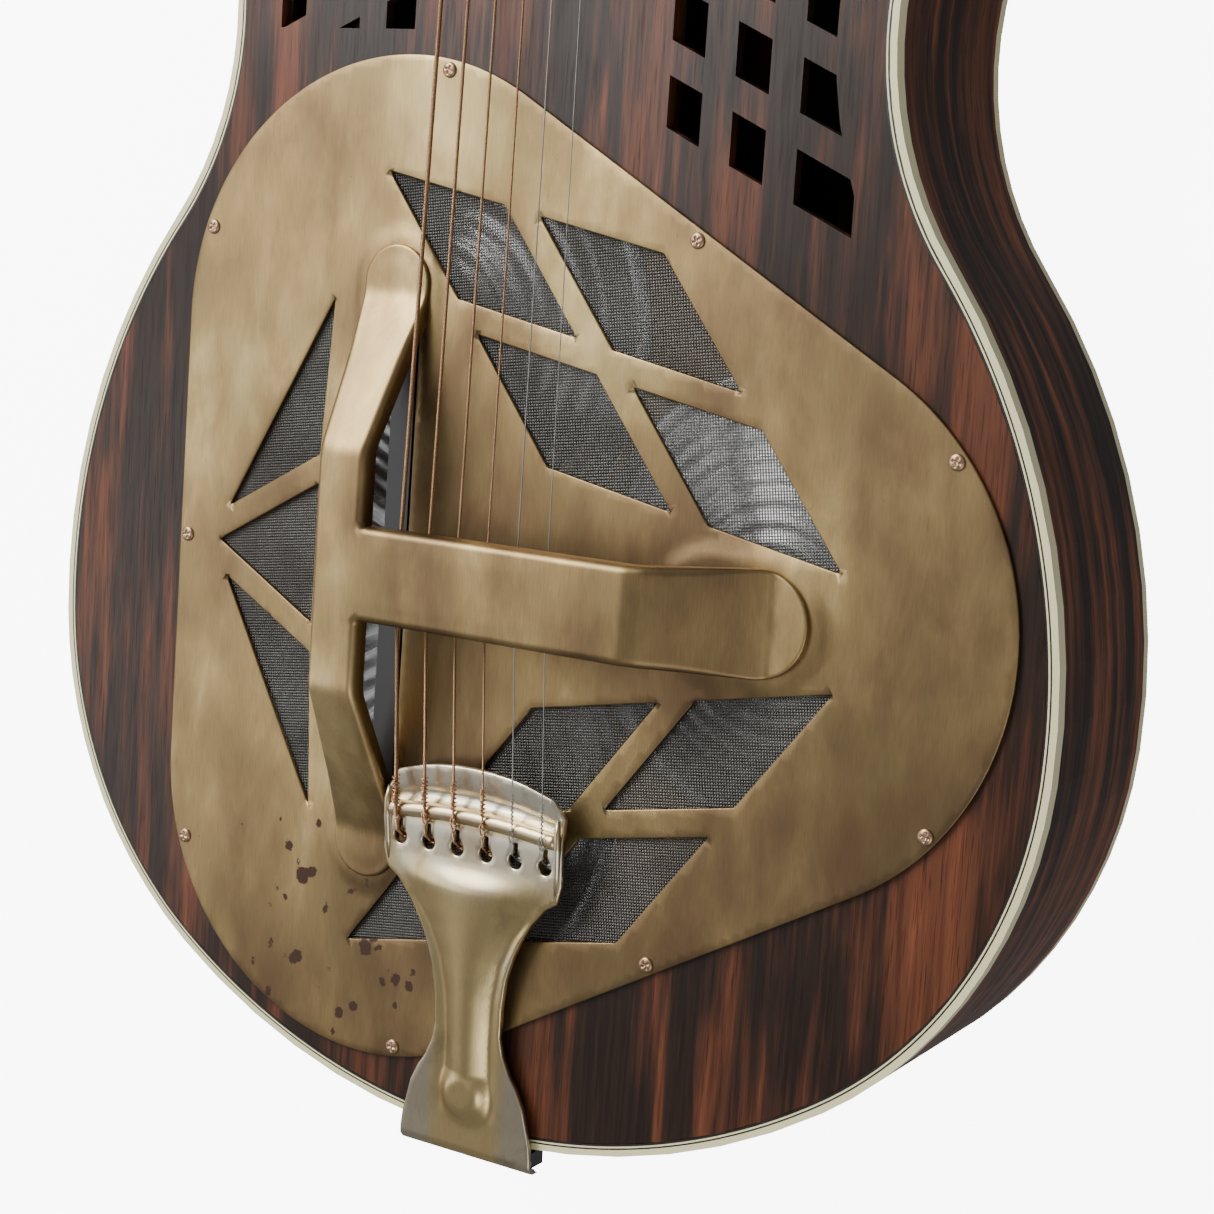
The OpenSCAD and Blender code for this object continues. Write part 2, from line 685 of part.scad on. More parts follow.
// The points of a half outline, mirrored and in reverse
function other_half(p) = [for (i = [len(p) - 1 : -1 : 0]) [-p[i].x, p[i].y]];
module head_shape() {
    polygon(concat(head_half, [head_hollow], other_half(head_half)));
}
module d_section(y, w, depth) {
    translate([0, y, z_neck]) rotate([90, 0, 0]) linear_extrude(1) intersection() {
        scale([w / 2, depth]) circle(1, $fn = 32);
        translate([-w, -2 * depth]) square([2 * w, 2 * depth]);
    }
}
rod_z = z_neck - 5;
rod_r = 3;
rod_nut_r = 4;
channel_w = 2 * rod_r;
pocket_w = 13;
pocket_l = 22;
// Room for the truss rod's nut, from y0 and z0 up to the headstock's face
module nut_pocket(y0, z0) {
    block([-pocket_w / 2, y0, z0], [pocket_w / 2, head_y + pocket_l, z_neck + 30]);
}
module neck() {
    color([0.24, 0.12, 0.08]) difference() {
        union() {
            hull() {
                d_section(scale_length + 1, nut_w, 15);
                d_section(neck_y + 40, board_w(neck_y + 40), 17);
            }
            hull() {
                d_section(neck_y + 40, board_w(neck_y + 40), 17);
                translate([-joint_w / 2, neck_y - 8, z_neck - 12]) cube([joint_w, 10, 12]);
                translate([-16, neck_y - 8, heel_z]) cube([32, 10, 4]);
                translate([0, neck_y + 4, heel_z]) cylinder(r = 12, h = 4, $fn = 32);
            }
            translate([0, 0, z_top]) linear_extrude(z_neck - z_top)
                polygon([[-board_w(board_y0) / 2, board_y0], [board_w(board_y0) / 2, board_y0],
                         [joint_w / 2, neck_y + 2], [-joint_w / 2, neck_y + 2]]);
            // Solid between the nut and the slanting headstock
            translate([-nut_w / 2, scale_length, z_neck - 14]) cube([nut_w, nut_t, 14]);
            head_frame() translate([0, 0, -head_t]) linear_extrude(head_wood) head_shape();
        }
        translate([0, 0, -1]) linear_extrude(z_top + 1) polygon(body_outline(0));
        block([-channel_w / 2, neck_y + 12, rod_z], [channel_w / 2, head_y + 1, z_neck + 1]);
        translate([0, neck_y + 12, rod_z]) rotate([-90, 0, 0]) cylinder(r = rod_r, h = head_y - neck_y);
        nut_pocket(head_y, rod_z - rod_nut_r - 1);
        head_frame() tuner_holes(bushing_r);
        // Flat seat for the nut
        block([-nut_w, scale_length, z_neck], [nut_w, head_y, z_neck + 20]);
    }
}
module fingerboard() {
    color([0.1, 0.07, 0.06]) difference() {
        translate([0, 0, z_neck]) linear_extrude(board_t)
            polygon([[-board_w(board_y0) / 2, board_y0], [board_w(board_y0) / 2, board_y0],
                     [nut_w / 2, scale_length], [-nut_w / 2, scale_length]]);
        for (n = [1 : fret_count]) {
            y = fret_y(n);
            block([-50, y - tang_w / 2, z_board - tang_h], [50, y + tang_w / 2, z_board + 1]);
        }
        for (p = markers) translate([p.x, p.y, z_board - marker_t]) cylinder(r = marker_r, h = 5, $fn = 32);
    }
}
tang_w = 0.6;
tang_h = 1.8;
module frets() {
    color([0.78, 0.78, 0.76]) for (n = [1 : fret_count]) {
        w = board_w(fret_y(n));
        y = fret_y(n);
        block([-w / 2, y - tang_w / 2, z_board - tang_h], [w / 2, y + tang_w / 2, z_board + eps]);
        translate([-w / 2, y, 0]) intersection() {
            translate([0, 0, z_board - 0.4]) rotate([0, 90, 0]) cylinder(r = fret_h + 0.4, h = w, $fn = 24);
            translate([0, -5, z_board]) cube([w, 10, 5]);
        }
    }
}
marker_r = 3;
marker_t = 1.2;
function between(n) = (fret_y(n) + fret_y(n - 1)) / 2;
markers = concat([for (n = [3, 5, 7, 9, 15]) [0, between(n)]], [for (s = [-11, 11]) [s, between(12)]]);
module fret_markers() {
    color([0.9, 0.9, 0.86]) for (p = markers) translate([p.x, p.y, z_board - marker_t])
        cylinder(r = marker_r, h = marker_t, $fn = 32);
}
module nut() {
    color([0.93, 0.9, 0.8]) difference() {
        block([-nut_w / 2, scale_length, z_neck], [nut_w / 2, head_y, z_nut + 0.6]);
        for (i = [0 : 5]) {
            r = gauge(i) + 0.05;
            translate([string_x(i, nut_spacing) - r - 0.6, scale_length - 1, z_nut - r - 1.2])
                cube([2 * r + 1.2, nut_t + 2, 10]);
        }
    }
}
module headstock_overlay() {
    color([0.14, 0.08, 0.06]) difference() {
        head_frame() translate([0, 0, -overlay_t]) linear_extrude(overlay_t) head_shape();
        head_frame() tuner_holes(bushing_r);
        nut_pocket(head_y - 5, 0);
        block([-nut_w, scale_length - 10, 0], [nut_w, head_y, z_neck + 20]);
        head_frame() truss_screw_holes();
    }
}
module truss_rod() {
    color([0.5, 0.5, 0.5]) translate([0, neck_y + 12, rod_z]) rotate([-90, 0, 0])
        cylinder(r = rod_r, h = head_y - neck_y - 12 + 2);
}
rod_nut_y = head_y + 2.3;
module truss_rod_nut() {
    color([0.72, 0.6, 0.35]) difference() {
        translate([0, rod_nut_y, rod_z]) rotate([-90, 0, 0]) cylinder(r = rod_nut_r, h = 10);
        translate([0, rod_nut_y + 5, rod_z]) rotate([-90, 0, 0]) cylinder(r = 2.3, h = 10, $fn = 6);
    }
}
cover_t = 1.6;
cover_screws = [[0, 30], [-8, 4], [8, 4]];
cover_screw_r = 0.9;
cover_half = [[11, 1.5], [11, 8], [8, 20], [3.5, 33]];
module truss_screw_holes() {
    for (p = cover_screws) translate([p.x, p.y, -overlay_t - 1])
        cylinder(r = cover_screw_r, h = 10, $fn = 16);
}
module truss_rod_cover() {
    color([0.08, 0.07, 0.07]) head_frame() difference() {
        linear_extrude(cover_t) polygon(concat(cover_half, other_half(cover_half)));
        truss_screw_holes();
    }
}
module truss_cover_screws() {
    color([0.75, 0.68, 0.5]) head_frame() for (p = cover_screws) translate([p.x, p.y, 0]) {
        translate([0, 0, -overlay_t]) cylinder(r = cover_screw_r, h = overlay_t + cover_t + eps, $fn = 16);
        translate([0, 0, cover_t]) cylinder(r1 = 1.9, r2 = 1.2, h = 0.8, $fn = 24);
    }
}

// ---- Tuners ----
// Posts in the headstock's own frame, in string order from the bass side
tuner_v0 = 44;
tuner_x = 21;
post_r = 3;
post_fit = 0.05;
bushing_r = 4.8;
bushing_flange_r = 7;
gear_r = 7;
gear_t = 4;
worm_r = 2.9;
worm_gap = 0.3;
plate_gauge = 1.2;
post_top = 12;
string_level = 6;
gear_z = -head_t - plate_gauge - 0.3 - gear_t;
collar_r = 3;
worm_z = -head_t - plate_gauge - collar_r - 0.3;
worm_offset = gear_r + worm_r + worm_gap;
button_x = 54;
button_r = 7.5;
button_t = 6.5;
function post_rank(i) = i < 3 ? i : 5 - i;
function post_side(i) = i < 3 ? -1 : 1;
function post_at(i) = [post_side(i) * tuner_x, tuner_v0 + post_rank(i) * tuner_pitch];
// The string meets the inner side of its post, on top of the turns.
wrap_r = 0.7;
function string_end_local(i) = let (p = post_at(i), reach = post_r + 2 * wrap_r + gauge(i) + 0.2)
    [p.x - post_side(i) * reach, p.y - 2, string_level];
function string_end(i) = let (p = string_end_local(i))
    [p.x, head_y + p.y * cos(head_angle) + p.z * sin(head_angle),
     head_z - p.y * sin(head_angle) + p.z * cos(head_angle)];
module tuner_holes(r) {
    for (i = [0 : 5]) translate([post_at(i).x, post_at(i).y, -head_t - 5])
        cylinder(r = r, h = head_t + 10);
}
module tuner_bushings() {
    color([0.75, 0.68, 0.5]) head_frame() for (i = [0 : 5]) translate([post_at(i).x, post_at(i).y, 0])
        difference() {
            union() {
                translate([0, 0, -head_t]) cylinder(r = bushing_r, h = head_t);
                cylinder(r = bushing_flange_r, h = 1.5);
            }
            translate([0, 0, -head_t - 1]) cylinder(r = post_r + post_fit, h = head_t + 5);
        }
}
// One long plate under each row of tuners, with an ear at each end of every worm
ear_t = 1.6;
ear_x = [tuner_x - 8, tuner_x + 7];
module tuner_plates() {
    color([0.66, 0.58, 0.4]) head_frame() for (s = [0, 1]) mirror([s, 0, 0]) difference() {
        union() {
            translate([tuner_x - 11, tuner_v0 - 20, -head_t - plate_gauge])
                cube([22, 2 * tuner_pitch + 34, plate_gauge]);
            for (k = [0 : 2]) for (x = ear_x)
                translate([x, tuner_v0 + k * tuner_pitch - worm_offset - 3.5, worm_z - 3.5])
                    cube([ear_t, 7, -head_t - plate_gauge - worm_z + 3.5 + eps]);
        }
        for (k = [0 : 2]) {
            translate([tuner_x, tuner_v0 + k * tuner_pitch, -head_t - 5])
                cylinder(r = post_r + post_fit, h = 10);
            translate([0, tuner_v0 + k * tuner_pitch - worm_offset, worm_z]) rotate([0, 90, 0])
                cylinder(r = shaft_r + post_fit, h = 100);
        }
        for (p = plate_holes) translate([p.x, p.y, -head_t - 5])
            cylinder(r = tuner_screw_r, h = 10, $fn = 16);
    }
}
tuner_screw_r = 1.1;
// The screws stand clear of the gears and the worms.
plate_holes = [for (v = [-17, 17, tuner_pitch + 18, 2 * tuner_pitch + 11]) [tuner_x, tuner_v0 + v]];
module tuner_screws() {
    color([0.75, 0.68, 0.5]) head_frame() for (s = [0, 1]) mirror([s, 0, 0]) for (p = plate_holes)
        translate([p.x, p.y, -head_t - plate_gauge]) {
            cylinder(r = tuner_screw_r, h = plate_gauge, $fn = 16);
            translate([0, 0, -1]) cylinder(r1 = 1.4, r2 = 2.2, h = 1, $fn = 24);
        }
}
shaft_r = 1.8;
module tuner_button(i) {
    p = post_at(i);
    s = post_side(i) > 0 ? 0 : 1;
    head_frame() mirror([s, 0, 0]) translate([0, p.y - worm_offset, worm_z]) {
        color([0.66, 0.58, 0.4]) {
            translate([ear_x[0] - 1, 0, 0]) rotate([0, 90, 0])
                cylinder(r = shaft_r, h = button_x - 5 - ear_x[0]);
            translate([ear_x[0] + ear_t + 0.3, 0, 0]) rotate([0, 90, 0])
                cylinder(r = worm_r, h = ear_x[1] - ear_x[0] - ear_t - 0.6);
            translate([ear_x[1] + ear_t + 0.3, 0, 0]) rotate([0, 90, 0])
                cylinder(r = collar_r, h = 4);
        }
        color([0.9, 0.88, 0.8]) {
            translate([button_x, 0, -button_t / 2]) cylinder(r = button_r, h = button_t);
            translate([button_x - 11, 0, 0]) rotate([0, 90, 0]) cylinder(r1 = 2.6, r2 = 3.2, h = 6);
        }
    }
}
gear_teeth = 16;
gear_tooth = 0.9;
module tuner_post(i) {
    p = post_at(i);
    color([0.75, 0.68, 0.5]) head_frame() translate([p.x, p.y, 0]) {
        difference() {
            union() {
                translate([0, 0, gear_z]) cylinder(r = post_r, h = post_top - gear_z);
                translate([0, 0, gear_z]) linear_extrude(gear_t) polygon([for (k = [0 : 4 * gear_teeth - 1])
                    on_circle([0, 0], gear_r - (k % 4 < 2 ? 0 : gear_tooth), k * 90 / gear_teeth)]);
            }
            translate([-10, 0, string_level]) rotate([0, 90, 0]) cylinder(r = 0.9, h = 20, $fn = 16);
        }
        for (k = [-1, 0, 1]) translate([0, 0, string_level - 1.9 + k * 1.45]) rotate_extrude()
            translate([post_r + wrap_r - 0.1, 0]) circle(wrap_r, $fn = 16);
    }
}
module tuner_button_1() { tuner_button(0); }
module tuner_button_2() { tuner_button(1); }
module tuner_button_3() { tuner_button(2); }
module tuner_button_4() { tuner_button(3); }
module tuner_button_5() { tuner_button(4); }
module tuner_button_6() { tuner_button(5); }
module tuner_post_1() { tuner_post(0); }
module tuner_post_2() { tuner_post(1); }
module tuner_post_3() { tuner_post(2); }
module tuner_post_4() { tuner_post(3); }
module tuner_post_5() { tuner_post(4); }
module tuner_post_6() { tuner_post(5); }

back_panel();
side_bass();
side_treble();
top_panel();
top_binding();
top_purfling();
back_binding();
top_lining();
back_lining();
back_braces();
neck_block();
tail_block();
neck_stick();
soundwell();
well_posts();
cone_treble();
cone_bass_upper();
cone_bass_lower();
t_bridge();
saddle();
coverplate();
coverplate_screws();
handrest();
screen_upper();
screen_lower();
screen_bass();
tailpiece();
tailpiece_bracket();
tailpiece_hinge_pin();
tailpiece_screws();
strap_button();
wound_strings();
plain_strings();
neck();
fingerboard();
frets();
fret_markers();
nut();
headstock_overlay();
truss_rod();
truss_rod_nut();
truss_rod_cover();
truss_cover_screws();
tuner_bushings();
tuner_plates();
tuner_screws();
tuner_button_1();
tuner_button_2();
tuner_button_3();
tuner_button_4();
tuner_button_5();
tuner_button_6();
tuner_post_1();
tuner_post_2();
tuner_post_3();
tuner_post_4();
tuner_post_5();
tuner_post_6();
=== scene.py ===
"""Finishes a resonator guitar: pressed brass, spun cones, wound strings, dark striped wood."""
from math import atan2, ceil, cos, degrees, dist, hypot, pi, radians, sin, sqrt

import bpy
import numpy as np
from bpy.props import FloatProperty, FloatVectorProperty, IntProperty, PointerProperty
from mathutils import Matrix, Vector
from mathutils.geometry import delaunay_2d_cdt


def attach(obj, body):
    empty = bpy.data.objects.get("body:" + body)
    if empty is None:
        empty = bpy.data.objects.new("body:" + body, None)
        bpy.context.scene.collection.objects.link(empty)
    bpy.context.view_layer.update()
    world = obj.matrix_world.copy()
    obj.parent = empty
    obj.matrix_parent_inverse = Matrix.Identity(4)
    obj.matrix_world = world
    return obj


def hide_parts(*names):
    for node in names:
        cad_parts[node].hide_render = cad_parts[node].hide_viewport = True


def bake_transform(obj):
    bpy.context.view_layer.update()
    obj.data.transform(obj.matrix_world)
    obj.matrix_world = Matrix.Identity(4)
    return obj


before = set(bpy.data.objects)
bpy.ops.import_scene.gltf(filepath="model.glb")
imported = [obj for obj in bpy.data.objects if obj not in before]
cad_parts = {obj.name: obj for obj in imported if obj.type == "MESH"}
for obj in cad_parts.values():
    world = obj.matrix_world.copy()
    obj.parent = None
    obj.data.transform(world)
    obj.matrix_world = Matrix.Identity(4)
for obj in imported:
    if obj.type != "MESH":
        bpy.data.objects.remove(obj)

bl_info = {
    "name": "Resonator Guitar Finish",
    "version": (1, 0, 0),
    "blender": (4, 5, 0),
    "location": "3D View > Sidebar > Guitar",
    "description": "Builds the pressed, spun and strung pieces of a resonator guitar and its finishes",
    "category": "Object",
}

MM = 0.001
ROOT = "guitar"
TAIL = "tailpiece_plate"

# Main places and sizes on the guitar, in millimetres
TOP_Z = 76.0
PLATE_Z = 77.4
PITCH = 154.0
REACH = PITCH / sqrt(3)
WELL_X = -2.3
TREBLE = (WELL_X + REACH, 0.0)
UPPER = (WELL_X - REACH / 2, PITCH / 2)
LOWER = (WELL_X - REACH / 2, -PITCH / 2)
CORNERS = (TREBLE, UPPER, LOWER)
BAR_X = UPPER[0]
SHELF_Z = 43.0
CONE_H = 19.0
STRING_R = (0.7, 0.55, 0.43, 0.34, 0.21, 0.17)
SADDLE_Z = 95.3
NUT_Z = 89.3
SCALE = 635.0
HEAD_Y = 640.0
HEAD_Z = 84.4
HEAD_TILT = radians(13)
POST_X = 21.0
FIRST_POST = 44.0
POST_PITCH = 42.0
POST_R = 3.0
WRAP_R = 0.7
HOLE_PITCH = 11.2
HOLE_Y = -86.0
BALL_Z = 81.4
NUT_PITCH = 7.6
PLATE_R = 88.0
SCREW_ARC_R = 84.5
FLOOR_HALF = 30000.0
FLOOR_Z = -0.6


# ---------------------------------------------------------------- sizes and colours
def size_property(name, text, default, low, high):
    return FloatProperty(name=name, description=text + ", mm", default=default, min=low, max=high)


def count_property(name, text, default, low, high):
    return IntProperty(name=name, description=text, default=default, min=low, max=high)


def colour_property(name, text, *default):
    return FloatVectorProperty(name=name, description=text, subtype="COLOR", default=default, min=0, max=1)


class GuitarSizes(bpy.types.PropertyGroup):
    plate_edge: size_property("Plate edge", "Rounding of the coverplate's cut edges", 0.45, 0.1, 0.7)
    seat_height: size_property("Seat height", "Rise of the seats round the handrest's feet", 0.9, 0.0, 1.5)
    rest_round: size_property("Handrest rounding", "Rounding of the handrest's long edges", 2.6, 0.5, 4.0)
    tail_round: size_property("Tailpiece rounding", "Rounding of the tailpiece's edges", 0.7, 0.2, 1.0)
    cone_rings: count_property("Cone rings", "Spun rings on each cone", 9, 3, 16)
    cone_ring_depth: size_property("Ring depth", "Depth of a cone's spun rings", 0.55, 0.1, 1.0)
    screw_radius: size_property("Screw head", "Radius of the coverplate's screw heads", 2.5, 2.0, 3.5)
    weave: size_property("Screen weave", "Distance between the screens' wires", 0.95, 0.5, 2.5)
    twist_turns: count_property("String twist", "Turns of the twist behind each string's loop", 7, 3, 12)


class GuitarColours(bpy.types.PropertyGroup):
    brass: colour_property("Brass", "Rubbed brass", 0.50, 0.36, 0.165)
    brass_dark: colour_property("Brass tarnish", "Tarnish on the brass", 0.19, 0.125, 0.07)
    brass_pale: colour_property("Brass shine", "Where hands have polished the brass", 0.80, 0.64, 0.35)
    wood_dark: colour_property("Dark wood", "Dark stripes of the body's wood", 0.022, 0.011, 0.007)
    wood_red: colour_property("Red wood", "Red stripes of the body's wood", 0.130, 0.042, 0.019)
    binding: colour_property("Binding", "Aged binding", 0.92, 0.85, 0.50)
    bronze: colour_property("Bronze", "Wound strings", 0.78, 0.47, 0.27)
    floor: colour_property("Floor", "Pale floor", 0.93, 0.93, 0.93)


def sizes():
    return bpy.context.scene.guitar_sizes


def colours():
    return bpy.context.scene.guitar_colours


# ---------------------------------------------------------------- shader sums
class Socket:
    """A socket of a material's nodes that takes part in Python sums."""

    def __init__(self, tree, out=None):
        self.tree = tree
        self.out = out

    def node(self, kind, settings=None, values=None, out=0):
        """Any node: settings first, then each input's value or link."""
        made = self.tree.nodes.new("ShaderNode" + kind)
        for key, value in (settings or {}).items():
            if key == "stops":
                ramp = made.color_ramp
                while len(ramp.elements) < len(value):
                    ramp.elements.new(0.5)
                for stop, (place, colour) in zip(ramp.elements, value):
                    stop.position = place
                    stop.color = (*colour, 1.0)
            else:
                setattr(made, key, value)
        for key, value in (values or {}).items():
            if isinstance(value, Socket):
                self.tree.links.new(value.out, made.inputs[key])
            else:
                made.inputs[key].default_value = value
        return Socket(self.tree, made.outputs[out])

    def sum(self, operation, a, b=0.0):
        return self.node("Math", {"operation": operation}, {0: a, 1: b})

    def __add__(self, other):
        return self.sum("ADD", self, other)

    __radd__ = __add__

    def __sub__(self, other):
        return self.sum("SUBTRACT", self, other)

    def __rsub__(self, other):
        return self.sum("SUBTRACT", other, self)

    def __mul__(self, other):
        return self.sum("MULTIPLY", self, other)

    __rmul__ = __mul__

    def __truediv__(self, other):
        return self.sum("DIVIDE", self, other)

    def __abs__(self):
        return self.sum("ABSOLUTE", self)

    def sine(self):
        return self.sum("SINE", self)

    def root(self):
        return self.sum("SQRT", self)

    def larger(self, other):
        return self.sum("MAXIMUM", self, other)

    def between(self, low, high, to_low=0.0, to_high=1.0):
        """Smooth step from to_low at low to to_high at high."""
        values = {"Value": self, "From Min": low, "From Max": high, "To Min": to_low, "To Max": to_high}
        return self.node("MapRange", {"interpolation_type": "SMOOTHSTEP"}, values)


class Finish(Socket):
    """A material with the patterns that the guitar's finishes share. Patterns are in millimetres."""

    def __init__(self, name, metallic=0.0, roughness=0.5, **fixed):
        self.material = bpy.data.materials.new(name)
        self.material.use_nodes = True
        super().__init__(self.material.node_tree)
        self.tree.nodes.clear()
        self.shader = self.tree.nodes.new("ShaderNodeBsdfPrincipled")
        self.tree.links.new(self.shader.outputs[0], self.tree.nodes.new("ShaderNodeOutputMaterial").inputs[0])
        self.feed(Metallic=metallic, Roughness=roughness)
        for key, value in fixed.items():
            self.shader.inputs[key.replace("_", " ")].default_value = value

    def feed(self, **values):
        for key, value in values.items():
            target = self.shader.inputs[key.replace("_", " ")]
            if isinstance(value, Socket):
                self.tree.links.new(value.out, target)
            elif isinstance(value, (tuple, list)) or hasattr(value, "r"):
                target.default_value = (*value, 1.0)
            else:
                target.default_value = value

    def place(self, scale=(1, 1, 1), shift=(0, 0, 0)):
        """Position in millimetres, stretched by scale after it is shifted."""
        here = self.node("TexCoord", out="Object")
        moved = self.node("Mapping", values={"Vector": here, "Scale": (1000, 1000, 1000), "Location": shift})
        return self.node("Mapping", values={"Vector": moved, "Scale": scale})

    def axes(self, shift=(0, 0, 0)):
        here = self.place(shift=shift)
        return [self.node("SeparateXYZ", values={"Vector": here}, out=k) for k in range(3)]

    def noise(self, scale, detail=3.0, rough=0.5, warp=0.0, shift=(0, 0, 0)):
        """Noise with one scale, or one for each axis."""
        scale = scale if isinstance(scale, tuple) else (scale, scale, scale)
        values = {"Vector": self.place(scale, shift), "Scale": 1.0, "Detail": detail}
        return self.node("TexNoise", values={**values, "Roughness": rough, "Distortion": warp})

    def lathe_noise(self, distance, detail):
        """Noise that changes with one distance only."""
        values = {"W": distance, "Scale": 1.0, "Detail": detail}
        return self.node("TexNoise", {"noise_dimensions": "1D"}, values)

    def ramp(self, value, *stops):
        return self.node("ValToRGB", {"stops": stops}, {"Fac": value})

    def mix(self, share, a, b, blend="MIX"):
        rgba = [v if isinstance(v, Socket) else (*v, 1.0) for v in (a, b)]
        return self.node("Mix", {"data_type": "RGBA", "blend_type": blend},
                         {"Factor": share, 6: rgba[0], 7: rgba[1]}, out=2)

    def bump(self, height, distance):
        return self.node("Bump", values={"Height": height, "Distance": distance * MM})


def scaled(colour, share):
    return tuple(share * v for v in colour)


def brass(name, pits=False, polish=0.0):
    """Antique brass: brushed along the neck's line, tarnished in clouds, rubbed bright in places."""
    c = colours()
    f = Finish(name, metallic=1.0)
    clouds = f.noise((0.016, 0.009, 0.016), 3, 0.5, 0.25, shift=(13, 40, 3))
    blotch = f.noise((0.055, 0.022, 0.055), 5, 0.62, 0.3, shift=(70, 10, 5))
    grain = f.noise((4.2, 0.126, 4.2), 3, 0.6)
    fine = f.noise((11.0, 0.33, 11.0), 2, 0.5, shift=(5, 9, 2))
    speck = f.noise(1.1, 4, 0.75, 0.3)
    worn = (clouds * 0.7 + blotch * 0.3 + polish).between(0.36, 0.68)
    base = f.mix(worn, c.brass_dark, c.brass)
    shine = (clouds * 0.65 + blotch * 0.35 + polish).between(0.52, 0.74) * 0.8
    base = f.mix(shine, base, c.brass_pale)
    olive = f.noise((0.03, 0.02, 0.03), 3, 0.5, 0.5, shift=(-90, 33, 8)).between(0.45, 0.7) * 0.45
    base = f.mix(olive, base, (0.27, 0.21, 0.10))
    base = f.mix(grain.between(0.3, 0.75) * 0.34, base, (0.62, 0.5, 0.30), "MULTIPLY")
    base = f.mix(speck.between(0.60, 0.78) * 0.35, base, (0.12, 0.075, 0.035))
    rough = 0.30 + blotch * 0.16 + grain * 0.10 - shine * 0.07
    metal = 1.0 - speck.between(0.62, 0.8) * 0.25
    if pits:
        x, y, _ = f.axes()
        near = ((x + 62) * (x + 62) / 1900 + (y + 128) * (y + 128) / 1500).root().between(1.25, 0.55)
        spots = f.node("TexVoronoi", {"feature": "F1"},
                       {"Vector": f.place((0.13, 0.11, 0.13)), "Scale": 1.0, "Randomness": 1.0})
        ragged = f.noise(0.9, 4, 0.7) * 0.34 - 0.07
        width = f.noise(0.10, 1, 0.5, shift=(44, 4, 1)).between(0.38, 0.62, 0.0, 0.38)
        pit = (width * near + 0.10 - spots - ragged).between(-0.02, 0.02)
        base = f.mix(pit, base, (0.05, 0.02, 0.010))
        rough = rough + pit * 0.25
        metal = metal - pit * 0.7
    height = grain * 0.5 + fine * 0.5
    f.feed(Base_Color=base, Roughness=rough, Metallic=metal, Normal=f.bump(height, 0.035))
    return f.material


def striped_wood(name, upright=False, light=1.0):
    """Dark wood with red stripes along the grain, fine pores and a satin lacquer. A light above 1 brightens
    the red stripes: a painted lit copy of the wood.
    """
    c = colours()
    f = Finish(name, roughness=0.4, Coat_Roughness=0.25, Specular_IOR_Level=0.12 if upright else 0.2)
    if upright:
        wide, mid = (0.006, 0.006, 0.055), (0.012, 0.012, 0.22)
        fine, pore = (0.03, 0.03, 1.1), (0.10, 0.10, 2.6)
    else:
        wide, mid = (0.046, 0.0045, 0.05), (0.16, 0.009, 0.16)
        fine, pore = (0.75, 0.018, 0.8), (2.4, 0.07, 2.4)
    bands = f.noise(wide, 3, 0.55, 0.9, shift=(31, 12, 6))
    streaks = f.noise(mid, 4, 0.6, 0.5, shift=(3, 77, 4))
    lines = f.noise(fine, 3, 0.6, 0.2)
    pores = f.noise(pore, 2, 0.5)
    patch = f.noise((0.012, 0.010, 0.02), 2, 0.5, 0.4, shift=(9, 9, 9))
    red = (bands * 0.55 + streaks * 0.34 + patch * 0.22).between(0.46 if upright else 0.49, 0.67)
    # light scales the red and warm stripe colours: above 1 this is painted light.
    base = f.mix(red, c.wood_dark, scaled(c.wood_red, light))
    warm = (streaks * 0.6 + lines * 0.4).between(0.50, 0.68) * 0.62
    base = f.mix(warm * red, base, scaled((0.31, 0.095, 0.042), light))
    base = f.mix(lines.between(0.44, 0.64) * 0.55, base, (0.22, 0.15, 0.13), "MULTIPLY")
    base = f.mix(pores.between(0.58, 0.70) * 0.6, base, (0.008, 0.005, 0.004))
    gloss = 0.02 if upright else 0.16
    f.feed(Base_Color=base, Coat_Weight=gloss * (1 + pores.between(0.62, 0.5)),
           Roughness=0.36 + lines * 0.16, Normal=f.bump(pores * 0.6 + lines * 0.4, 0.03))
    return f.material


def plain_wood(name, light, dark, rough=0.55):
    """Straight-grained wood for the neck, the fingerboard and the inside."""
    f = Finish(name)
    grain = f.noise((0.3, 0.0075, 0.3), 4, 0.6, 0.7)
    fine = f.noise((2.64, 0.066, 2.64), 3, 0.6)
    base = f.mix(grain.between(0.35, 0.65), dark, light)
    base = f.mix(fine.between(0.5, 0.75) * 0.45, base, scaled(dark, 0.55))
    f.feed(Base_Color=base, Roughness=rough - 0.1 + fine * 0.2, Normal=f.bump(fine, 0.04))
    return f.material


def plated(name, colour, rough=0.25, worn=(0.3, 0.26, 0.2), amount=0.4):
    """Plated or cast metal with cloudy wear."""
    f = Finish(name, metallic=1.0)
    cloud = f.noise(0.08, 5, 0.65, 0.5)
    fine = f.noise(3.5, 3, 0.6)
    base = f.mix(cloud.between(0.45, 0.72) * amount, colour, worn)
    base = f.mix(fine.between(0.45, 0.8) * 0.25, base, scaled(colour, 0.5))
    f.feed(Base_Color=base, Roughness=rough + cloud * 0.12 + fine * 0.08, Normal=f.bump(fine, 0.02))
    return f.material


def dyed_and_painted_shade(name, colour, rough=0.45, mottle=0.25, coat=0.0):
    """Dyed wood, plastic, bone or painted steel, and the bridge's near-black painted shade."""
    f = Finish(name, Coat_Roughness=0.2)
    cloud = f.noise((0.12, 0.05, 0.12), 4, 0.6, 0.4)
    fine = f.noise((1.8, 0.6, 1.8), 3, 0.6)
    base = f.mix(cloud.between(0.35, 0.7) * mottle, colour, scaled(colour, 0.6))
    base = f.mix(fine.between(0.55, 0.8) * mottle, base, scaled(colour, 0.4))
    f.feed(Base_Color=base, Roughness=rough - 0.05 + fine * 0.12, Coat_Weight=coat + 0.1 * cloud,
           Normal=f.bump(fine, 0.02))
    return f.material


